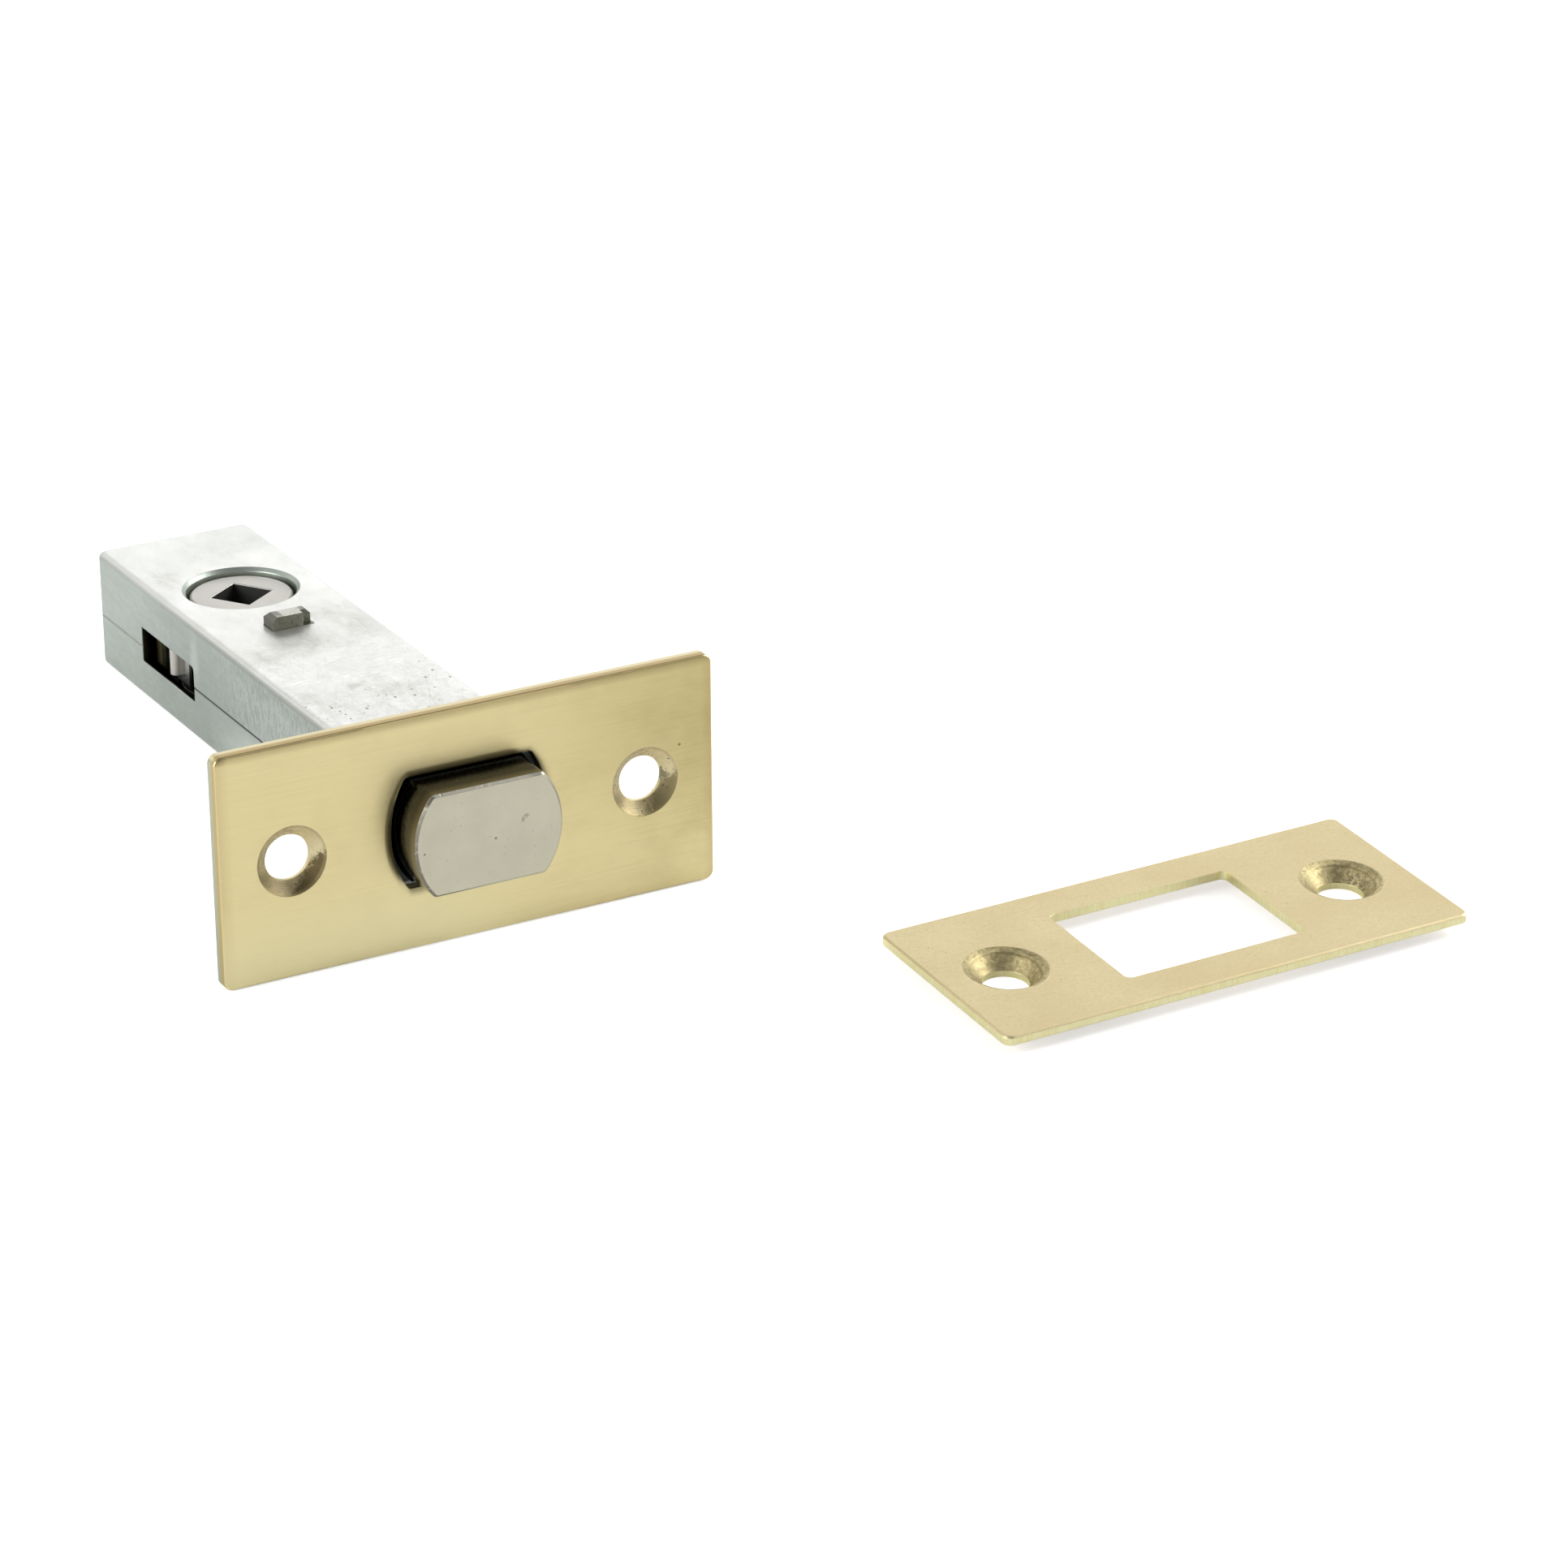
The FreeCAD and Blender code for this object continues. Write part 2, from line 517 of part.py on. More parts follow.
def detent_plunger():
    """Round plunger with a beveled nose and a thin stem that centres the spring."""
    back = PLUNGER_NOSE + PLUNGER_LENGTH
    body = lengthways(PLUNGER_DIAMETER, 0, MECHANISM_LEVEL, PLUNGER_NOSE, back)
    body = body.makeChamfer(PLUNGER_NOSE_BEVEL, edges_at(body, "Y", PLUNGER_NOSE))
    stem = lengthways(PLUNGER_STEM_DIAMETER, 0, MECHANISM_LEVEL, back, back + PLUNGER_STEM_LENGTH)
    return body.fuse(stem).removeSplitter()


def detent_spring():
    """Compression spring of square wire behind the plunger."""
    travel = SPRING_BACK - SPRING_FRONT - SPRING_WIRE
    radius = (SPRING_DIAMETER - SPRING_WIRE) / 2
    helix = Part.makeHelix(travel / SPRING_TURNS, travel, radius)
    start = helix.Edges[0].Vertexes[0].Point
    turns = [2 * math.pi * i / SPRING_WIRE_SIDES for i in range(SPRING_WIRE_SIDES + 1)]
    ring = Part.makePolygon([start + Vector(math.cos(t), 0, math.sin(t)) * (SPRING_WIRE / 2) for t in turns])
    coil = Part.Wire(helix.Edges).makePipeShell([ring], True, True)
    back_end = Vector(0, SPRING_BACK - SPRING_WIRE / 2, MECHANISM_LEVEL)
    coil.Placement = Placement(back_end, Rotation(X_AXIS, 90))
    return coil


def strike_dimple(x):
    """Material pressed down round one of the strike plate's screw holes."""
    hole, foot, root = STRIKE_SCREW_HOLE / 2, STRIKE_DIMPLE_FOOT / 2, STRIKE_DIMPLE_ROOT / 2
    outline = [(x, 0, -STRIKE_DIMPLE_DROP), (x + foot, 0, -STRIKE_DIMPLE_DROP), (x + root, 0, 0),
               (x + root, 0, STRIKE_THICKNESS / 2), (x, 0, STRIKE_THICKNESS / 2)]
    return polygon(outline).revolve(Vector(x, 0, 0), Z_AXIS, 360)


def strike_sink(x):
    """Cutter for one screw hole: a pressed dish, a countersink below it and a straight hole."""
    top = STRIKE_THICKNESS
    dish_floor = top - STRIKE_DISH_DEPTH
    sink_floor = dish_floor - STRIKE_SINK_DEPTH
    dish, sink, hole = STRIKE_DISH_DIAMETER / 2, STRIKE_SINK_DIAMETER / 2, STRIKE_SCREW_HOLE / 2
    outline = [(x, 0, -STRIKE_DIMPLE_DROP - BEYOND), (x + hole, 0, -STRIKE_DIMPLE_DROP - BEYOND),
               (x + hole, 0, sink_floor), (x + sink, 0, dish_floor), (x + dish, 0, top),
               (x + dish, 0, top + BEYOND), (x, 0, top + BEYOND)]
    return polygon(outline).revolve(Vector(x, 0, 0), Z_AXIS, 360)


def strike_plate():
    """Flat plate with a rectangular opening for the bolt, laid on the table beside the lock."""
    plate = rounded_plate(STRIKE_LENGTH, STRIKE_WIDTH, STRIKE_THICKNESS, STRIKE_CORNER)
    plate = plate.makeChamfer(STRIKE_ARRIS, edges_at(plate, "Z", STRIKE_THICKNESS))
    opening = rounded_plate(STRIKE_OPENING_LENGTH, STRIKE_OPENING_WIDTH, STRIKE_THICKNESS + 2 * BEYOND,
                            STRIKE_OPENING_CORNER)
    opening.translate(Vector(0, 0, -BEYOND))
    places = [side * STRIKE_SCREW_SPACING / 2 for side in (-1, 1)]
    plate = plate.fuse([strike_dimple(x) for x in places])
    plate = plate.cut([opening] + [strike_sink(x) for x in places]).removeSplitter()
    lips = [e for e in edges_at(plate, "Z", STRIKE_THICKNESS) if e.isClosed()]
    plate = plate.makeChamfer(STRIKE_DISH_LIP, lips)
    centre = Vector(STRIKE_ALONG, -STRIKE_FORWARD, STRIKE_DIMPLE_DROP)
    plate.Placement = table_placement().multiply(Placement(centre, Rotation(Z_AXIS, STRIKE_TURN)))
    return plate


def table_placement():
    """The table's plane: it meets the face plate's lower rear edge and the case's lower rear edge."""
    return Placement(Vector(0, PLATE_THICKNESS, -HALF_PLATE), Rotation(X_AXIS, FLOOR_TILT))


def write(name, shape):
    """Check one node and write it to its STEP file."""
    if not shape.isValid():
        raise ValueError(name + " is not a valid solid")
    shape.exportStep("parts/" + name + ".step")
    print(name, len(shape.Solids), round(shape.Volume, 1))


def main():
    """Build every node and write it."""
    os.makedirs("parts", exist_ok=True)
    write("face_plate", face_plate())
    write("case_upper", case_half(True))
    write("case_lower", case_half(False))
    write("case_pillar", case_pillar())
    write("bolt_head", bolt_head())
    write("bolt_tail", bolt_tail())
    write("tail_pin", tail_pin_form())
    write("follower", follower())
    write("detent_plunger", detent_plunger())
    write("detent_spring", detent_spring())
    write("strike_plate", strike_plate())


main()
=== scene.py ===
import json
import math

import bpy
from mathutils import Matrix, Vector


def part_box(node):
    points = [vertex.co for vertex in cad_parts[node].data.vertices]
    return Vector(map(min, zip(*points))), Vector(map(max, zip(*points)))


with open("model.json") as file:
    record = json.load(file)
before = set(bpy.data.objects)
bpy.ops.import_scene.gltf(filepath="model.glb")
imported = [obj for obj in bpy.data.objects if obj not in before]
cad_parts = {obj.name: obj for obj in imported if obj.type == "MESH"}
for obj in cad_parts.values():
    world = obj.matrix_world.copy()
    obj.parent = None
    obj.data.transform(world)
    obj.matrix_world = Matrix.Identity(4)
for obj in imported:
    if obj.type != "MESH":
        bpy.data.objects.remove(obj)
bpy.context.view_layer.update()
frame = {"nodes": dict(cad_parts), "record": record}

MM = 0.001

# Camera, fitted to the photograph: millimetres, degrees, and pixels of a square image
IMAGE_WIDTH = 1932
FOCAL_PIXELS = 6614.07
CAMERA_TARGET = Vector((37.163, 0.0, -3.881)) * MM
CAMERA_DISTANCE = 573.915 * MM
CAMERA_AZIMUTH = -29.486
CAMERA_ELEVATION = 23.144
CAMERA_ROLL = -0.332
SENSOR_WIDTH = 36.0
CLIP_NEAR = 10.0 * MM
CLIP_FAR = 20000.0 * MM

# Table and surroundings: shares of white, strengths of light, and metres
TABLE_WHITE = 0.82
TABLE_GLOW = 0.58
TABLE_REACH = 3.0
WORLD_SEEN = 1.0
WORLD_LEVEL = 0.56
WORLD_FRONT = 0.36
WORLD_FRONT_WAY = Vector((0.25, -0.75, 0.6)).normalized()
WORLD_DIM_START = -0.1
WORLD_DIM_END = 0.75

# Boxes of the CAD nodes, in metres, and the tilt of the table that the plate and the case stand on
PLATE_LOW, PLATE_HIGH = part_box("face_plate")
CASE_LOW, CASE_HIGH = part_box("case_lower")
PLATE_BACK = PLATE_HIGH.y
TABLE_TILT = math.atan2(CASE_LOW.z - PLATE_LOW.z, CASE_HIGH.y - PLATE_BACK)

# Places on the lock, in millimetres of its own frame
MOUNTS = {mount["name"]: mount for mount in frame["record"]["mounts"]}
SCREW_X = MOUNTS["plate_screws"]["dims"]["spacing_x_mm"] / 2
HUB_Y = MOUNTS["spindle_square"]["pos_m"][1] / MM
STRIKE_SCREWS = [[v / MM for v in MOUNTS["strike_screw_" + end]["pos_m"]] for end in ("near", "far")]
PLATE_TOP = PLATE_HIGH.z / MM
PLATE_END = PLATE_HIGH.x / MM
CASE_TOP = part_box("case_upper")[1].z / MM
CASE_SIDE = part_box("case_upper")[1].x / MM
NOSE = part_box("bolt_head")[0].y / MM
PARTING_LEVEL = -0.75
OPENING_REACH = 9.25
OPENING_HALF_HEIGHT = 6.25
SCREW_HOLE_RADIUS = 2.5
SINK_RADIUS = 3.9
STRIKE_DISH_RADIUS = 4.3
BORE_REACH = 6.9

# Sockets of the mix node, which shares its names between kinds of data: first, second and result
MIX_COLORS = (6, 7, 2)
MIX_VECTORS = (4, 5, 1)


class Shader:
    """A metal material whose textures are laid out in millimetres of the object's own frame."""

    def __init__(self, name):
        self.material = bpy.data.materials.new(name)
        self.material.use_nodes = True
        self.tree = self.material.node_tree
        self.tree.nodes.clear()
        self.surface = self.node("ShaderNodeBsdfPrincipled")
        self.surface.inputs["Metallic"].default_value = 1.0
        output = self.node("ShaderNodeOutputMaterial")
        self.link(self.surface.outputs["BSDF"], output.inputs["Surface"])
        place = self.node("ShaderNodeTexCoord")
        scaled = self.node("ShaderNodeVectorMath", operation="SCALE")
        scaled.inputs["Scale"].default_value = 1 / MM
        self.link(place.outputs["Object"], scaled.inputs[0])
        self.place = scaled.outputs[0]
        self.normal = self.node("ShaderNodeNewGeometry").outputs["Normal"]
        self.x, self.y, self.z = self.parts(self.place)
        self.across, self.along, self.up = self.parts(self.normal)

    def node(self, kind, **settings):
        """New node with these settings."""
        made = self.tree.nodes.new(kind)
        for key, value in settings.items():
            setattr(made, key, value)
        return made

    def link(self, source, target):
        """Join two sockets, or set a constant on the target."""
        if isinstance(source, (int, float)):
            target.default_value = source
        elif isinstance(source, (tuple, list)):
            target.default_value = tuple(source) + (1.0,) * (len(target.default_value) - len(source))
        else:
            self.tree.links.new(source, target)

    def parts(self, vector):
        """The three parts of a vector."""
        made = self.node("ShaderNodeSeparateXYZ")
        self.link(vector, made.inputs[0])
        return made.outputs

    def math(self, operation, first, second=0.0):
        """Result of one sum."""
        made = self.node("ShaderNodeMath", operation=operation)
        self.link(first, made.inputs[0])
        self.link(second, made.inputs[1])
        return made.outputs[0]

    def total(self, *terms):
        """Sum of values, each given with its share."""
        result = None
        for value, share in terms:
            scaled = self.math("MULTIPLY", value, share)
            result = scaled if result is None else self.math("ADD", result, scaled)
        return result

    def off(self, value, middle=0.0):
        """How far a value is from its middle, to either side."""
        return self.math("ABSOLUTE", self.math("SUBTRACT", value, middle))

    def both(self, *masks):
        """Mask that is 1 where all of these are."""
        result = masks[0]
        for mask in masks[1:]:
            result = self.math("MULTIPLY", result, mask)
        return result

    def either(self, *masks):
        """Mask that is 1 where any of these is."""
        result = masks[0]
        for mask in masks[1:]:
            result = self.math("MAXIMUM", result, mask)
        return result

    def outside(self, mask):
        """Mask that is 1 where this one is 0."""
        return self.spread(mask, 1.0, 0.0)

    def stretched(self, x, y, z, vector=None):
        """Place in millimetres, multiplied along each axis."""
        made = self.node("ShaderNodeVectorMath", operation="MULTIPLY")
        self.link(self.place if vector is None else vector, made.inputs[0])
        made.inputs[1].default_value = (x, y, z)
        return made.outputs[0]

    def turned(self, axis, degrees):
        """Place in millimetres, turned about one axis."""
        made = self.node("ShaderNodeVectorRotate", rotation_type=axis + "_AXIS")
        self.link(self.place, made.inputs["Vector"])
        made.inputs["Angle"].default_value = math.radians(degrees)
        return made.outputs[0]

    def noise(self, vector, detail=3.0, rough=0.5, distortion=0.0):
        """Cloudy noise, 0 to 1, at one feature for each unit of the vector."""
        made = self.node("ShaderNodeTexNoise")
        made.inputs["Scale"].default_value = 1.0
        made.inputs["Detail"].default_value = detail
        made.inputs["Roughness"].default_value = rough
        made.inputs["Distortion"].default_value = distortion
        self.link(vector, made.inputs["Vector"])
        return made.outputs["Fac"]

    def cells(self, size):
        """Distance to the nearest of scattered points, about one to each size in millimetres."""
        made = self.node("ShaderNodeTexVoronoi")
        made.inputs["Scale"].default_value = 1.0
        self.link(self.stretched(1 / size, 1 / size, 1 / size), made.inputs["Vector"])
        return self.math("MULTIPLY", made.outputs["Distance"], size)

    def spread(self, value, low, high, to_low=0.0, to_high=1.0):
        """Value taken from one range to another, held at its ends."""
        made = self.node("ShaderNodeMapRange")
        self.link(value, made.inputs["Value"])
        ends = {"From Min": low, "From Max": high, "To Min": to_low, "To Max": to_high}
        for name, number in ends.items():
            made.inputs[name].default_value = number
        return made.outputs["Result"]

    def mix(self, factor, first, second):
        """Colour between two colours."""
        first_socket, second_socket, result = MIX_COLORS
        made = self.node("ShaderNodeMix", data_type="RGBA")
        self.link(factor, made.inputs["Factor"])
        self.link(first, made.inputs[first_socket])
        self.link(second, made.inputs[second_socket])
        return made.outputs[result]

    def stain(self, color, mask, share, tint):
        """Colour with a tint laid over it where the mask is."""
        return self.mix(self.math("MULTIPLY", mask, share), color, tint)

    def layers(self, color, *stains):
        """Colour with stains laid over it in turn, each a mask, its share and its tint."""
        for mask, share, tint in stains:
            color = self.stain(color, mask, share, tint)
        return color

    def near(self, centre, reach, soft=0.5, ragged=0.0, grain=1.0):
        """Mask that is 1 round a point and gone past its reach along each axis."""
        moved = self.node("ShaderNodeVectorMath", operation="SUBTRACT")
        self.link(self.place, moved.inputs[0])
        moved.inputs[1].default_value = centre
        shrunk = self.node("ShaderNodeVectorMath", operation="DIVIDE")
        self.link(moved.outputs[0], shrunk.inputs[0])
        shrunk.inputs[1].default_value = reach
        length = self.node("ShaderNodeVectorMath", operation="LENGTH")
        self.link(shrunk.outputs[0], length.inputs[0])
        far = length.outputs["Value"]
        if ragged:
            shake = self.spread(self.noise(self.stretched(grain, grain, grain), detail=4.0, rough=0.6),
                                0.2, 0.8, -ragged, ragged)
            far = self.math("ADD", far, shake)
        return self.spread(far, 1.0, 1.0 - soft)

    def from_axis(self, first, second, centre=(0.0, 0.0)):
        """Distance from a line, given the two places across it and where the line crosses them."""
        aside = self.math("SUBTRACT", first, centre[0])
        ahead = self.math("SUBTRACT", second, centre[1])
        return self.math("SQRT", self.math("ADD", self.math("MULTIPLY", aside, aside),
                                           self.math("MULTIPLY", ahead, ahead)))

    def scratches(self, axis, degrees, apart, long, low, high):
        """Mask of thin scattered lines on the faces across an axis, so far apart and so long."""
        turned = self.turned(axis, degrees)
        sizes = (apart, long, long) if axis == "Z" else (long, apart, long)
        lines = self.noise(self.stretched(*(1 / size for size in sizes), turned), detail=2.0, rough=0.6)
        return self.spread(lines, low, high)

    def bump(self, height, depth, normal):
        """Normal of a surface whose height varies by this many millimetres."""
        made = self.node("ShaderNodeBump")
        made.inputs["Strength"].default_value = 1.0
        made.inputs["Distance"].default_value = depth * MM
        self.link(height, made.inputs["Height"])
        self.link(normal, made.inputs["Normal"])
        return made.outputs["Normal"]

    def softened(self, radius):
        """Normal that turns over the edges in place of breaking at them."""
        made = self.node("ShaderNodeBevel", samples=6)
        made.inputs["Radius"].default_value = radius * MM
        return made.outputs["Normal"]

    def turned_to(self, mask, way, radius):
        """Softened normal that turns to one way where the mask is."""
        first_socket, second_socket, result = MIX_VECTORS
        made = self.node("ShaderNodeMix", data_type="VECTOR")
        self.link(mask, made.inputs["Factor"])
        self.link(self.softened(radius), made.inputs[first_socket])
        made.inputs[second_socket].default_value = way
        return made.outputs[result]

    def edges(self, radius):
        """Mask that is 1 along the edges, within this distance in millimetres."""
        made = self.node("ShaderNodeVectorMath", operation="DOT_PRODUCT")
        self.link(self.softened(radius), made.inputs[0])
        self.link(self.normal, made.inputs[1])
        return self.spread(made.outputs["Value"], 0.98, 0.75)

    def finish(self, color, roughness, normal):
        """Join what was worked out to the surface."""
        self.link(color, self.surface.inputs["Base Color"])
        self.link(roughness, self.surface.inputs["Roughness"])
        self.link(normal, self.surface.inputs["Normal"])
        return self.material


def brushed_brass():
    """Pale lacquered brass, brushed along the plate, with a rolled opening and speckled countersinks."""
    metal = Shader("brushed_brass")
    hair = metal.noise(metal.stretched(0.07, 3.2, 3.2), detail=5.0, rough=0.7)
    grain = metal.noise(metal.stretched(3.5, 5.0, 5.0), detail=3.0, rough=0.6)
    cloud = metal.noise(metal.stretched(0.05, 0.05, 0.09), detail=3.0)
    mottle = metal.noise(metal.stretched(0.16, 0.16, 0.22), detail=4.0, rough=0.6)
    front = metal.spread(metal.along, -0.7, -0.9)
    top = metal.spread(metal.up, 0.6, 0.9)
    end = metal.spread(metal.across, -0.6, -0.9)
    right = metal.spread(metal.x, 4.0, PLATE_END)

    # Flat front, from its overall tints to painted shade on its right part and along its rounded borders,
    # painted light on its lower left, and a dark mark at its top left corner
    pale_hair = metal.spread(hair, 0.50, 0.70)
    dark_hair = metal.both(metal.spread(hair, 0.48, 0.30), metal.spread(right, 0.0, 1.0, 0.4, 1.0))
    shaded_upper_right = metal.both(right, metal.spread(metal.z, -12.0, 8.0))
    right_mottle_and_shade = metal.both(right, metal.spread(mottle, 0.42, 0.62))
    lit_lower_left = metal.both(front, metal.spread(metal.z, -3.0, -12.0), metal.spread(metal.x, 16.0, -4.0))
    shaded_right_border = metal.both(front, metal.spread(metal.x, PLATE_END - 1.3, PLATE_END - 0.2))
    shaded_left_border = metal.both(front, metal.spread(metal.x, 1.6 - PLATE_END, 0.3 - PLATE_END))
    shaded_top_border = metal.both(front, metal.spread(metal.z, PLATE_TOP - 1.1, PLATE_TOP - 0.3))
    corner_mark = metal.near((-28.0, 0.2, 12.6), (1.1, 0.7, 0.7), 0.9)
    color = metal.layers(
        metal.mix(metal.spread(cloud, 0.3, 0.7), (0.91, 0.785, 0.415), (0.955, 0.835, 0.465)),
        (pale_hair, 0.35, (0.97, 0.88, 0.56)),
        (dark_hair, 0.45, (0.70, 0.58, 0.27)),
        (metal.spread(mottle, 0.52, 0.70), 0.25, (0.78, 0.68, 0.36)),
        (shaded_upper_right, 0.42, (0.68, 0.60, 0.28)),
        (right_mottle_and_shade, 0.28, (0.64, 0.58, 0.29)),
        (shaded_right_border, 0.35, (0.62, 0.47, 0.22)),
        (shaded_left_border, 0.40, (0.68, 0.52, 0.26)),
        (shaded_top_border, 0.65, (0.46, 0.35, 0.16)),
        (lit_lower_left, 0.60, (1.0, 0.94, 0.58)),
        (corner_mark, 0.75, (0.26, 0.20, 0.10)))

    # Thin sides of the plate, front to back, with painted shade at the rounded front edge and painted
    # reflection further back
    top_side_shading = metal.mix(metal.spread(metal.y, 0.75, 1.15), (0.42, 0.31, 0.13), (0.68, 0.60, 0.38))
    end_side_shading = metal.mix(metal.spread(metal.y, 0.5, 1.1), (0.66, 0.53, 0.24), (0.60, 0.61, 0.46))
    color = metal.mix(end, metal.mix(top, color, top_side_shading), end_side_shading)

    # Painted shade round the rolled opening, on its upper and left sides
    from_arc = metal.math("SUBTRACT", metal.from_axis(metal.x, metal.z), OPENING_REACH)
    from_flat = metal.math("SUBTRACT", metal.off(metal.z), OPENING_HALF_HEIGHT)
    from_mouth = metal.math("MAXIMUM", from_arc, from_flat)
    shaded_side = metal.either(metal.spread(metal.z, 0.0, 5.0), metal.spread(metal.x, -6.0, -8.5))
    opening_shade = metal.both(metal.spread(from_mouth, 1.35, 0.1), shaded_side)
    color = metal.stain(color, metal.both(opening_shade, opening_shade, opening_shade), 0.85, (0.15, 0.12, 0.06))

    # Countersinks, each with a painted highlight and painted shade to its own sides, with a ragged border
    side = metal.math("SIGN", metal.x)
    from_screw = metal.math("SUBTRACT", metal.x, metal.math("MULTIPLY", side, SCREW_X))
    radius = metal.from_axis(from_screw, metal.z)
    in_cone = metal.both(metal.spread(radius, SINK_RADIUS + 0.1, SINK_RADIUS - 0.05),
                         metal.spread(metal.along, -0.95, -0.85))
    speckle = metal.noise(metal.stretched(2.6, 2.6, 2.6), detail=5.0, rough=0.75)
    chips = metal.spread(speckle, 0.30, 0.70, -0.5, 0.5)
    highlight_way = metal.total((from_screw, 0.87), (metal.z, 0.50), (chips, 1.0))
    low_shade_way = metal.total((from_screw, -0.45), (metal.z, -0.89), (chips, 1.0))
    shade_way = metal.total((from_screw, 0.76), (metal.z, -0.65), (chips, 1.0))
    shade = metal.stain((0.15, 0.115, 0.05), metal.spread(side, -0.5, 0.5), 0.55, (0.50, 0.42, 0.22))
    cone = metal.layers(
        metal.mix(metal.spread(speckle, 0.40, 0.62), (0.56, 0.46, 0.25), (0.86, 0.74, 0.45)),
        (metal.spread(highlight_way, 1.6, 2.4), 0.75, (0.96, 0.86, 0.55)),
        (metal.spread(low_shade_way, 2.0, 2.8), 0.80, (0.34, 0.28, 0.16)),
        (metal.spread(shade_way, 2.3, 2.8), 0.95, shade))
    rim = metal.both(in_cone, metal.spread(radius, SINK_RADIUS - 0.35, SINK_RADIUS - 0.1))
    hole_wall = metal.both(metal.spread(radius, SCREW_HOLE_RADIUS + 0.25, SCREW_HOLE_RADIUS + 0.1),
                           metal.spread(metal.y, 1.1, 1.25))
    right_screw = metal.spread(metal.x, 10.0, 12.0)
    pits = metal.both(metal.spread(metal.cells(0.75), 0.15, 0.06), right_screw, in_cone)
    spot = metal.near((24.52, 0.0, 3.4), (0.20, 0.5, 0.20), 0.5)
    smear = metal.both(metal.near((23.0, 1.3, 0.0), (0.8, 1.2, 0.8), 0.5, 0.5, 3.0), right_screw)
    color = metal.layers(
        metal.mix(in_cone, color, cone),
        (rim, 0.5, (0.50, 0.40, 0.20)),
        (hole_wall, 0.8, (0.92, 0.80, 0.46)),
        (metal.either(pits, spot), 0.75, (0.16, 0.12, 0.06)),
        (smear, 0.7, (0.17, 0.15, 0.10)))

    # Brushing, the countersinks' turning rings, and the normals that roll into the opening
    rings = metal.math("SINE", metal.math("MULTIPLY", radius, 42.0))
    height = metal.total((hair, 0.6), (grain, 0.3), (metal.both(in_cone, rings), 0.25),
                         (metal.both(in_cone, speckle), 5.0), (spot, -3.0), (pits, -3.0))
    roughness = metal.spread(metal.total((hair, 0.6), (cloud, 0.4)), 0.3, 0.7, 0.32, 0.44)
    turning = metal.both(metal.spread(from_mouth, 0.15, 0.95), metal.spread(metal.off(metal.x), 12.5, 11.5),
                         metal.spread(metal.along, -0.6, -0.8))
    return metal.finish(color, roughness,
                        metal.bump(height, 0.010, metal.turned_to(turning, (0.0, -1.0, 0.0), 0.12)))


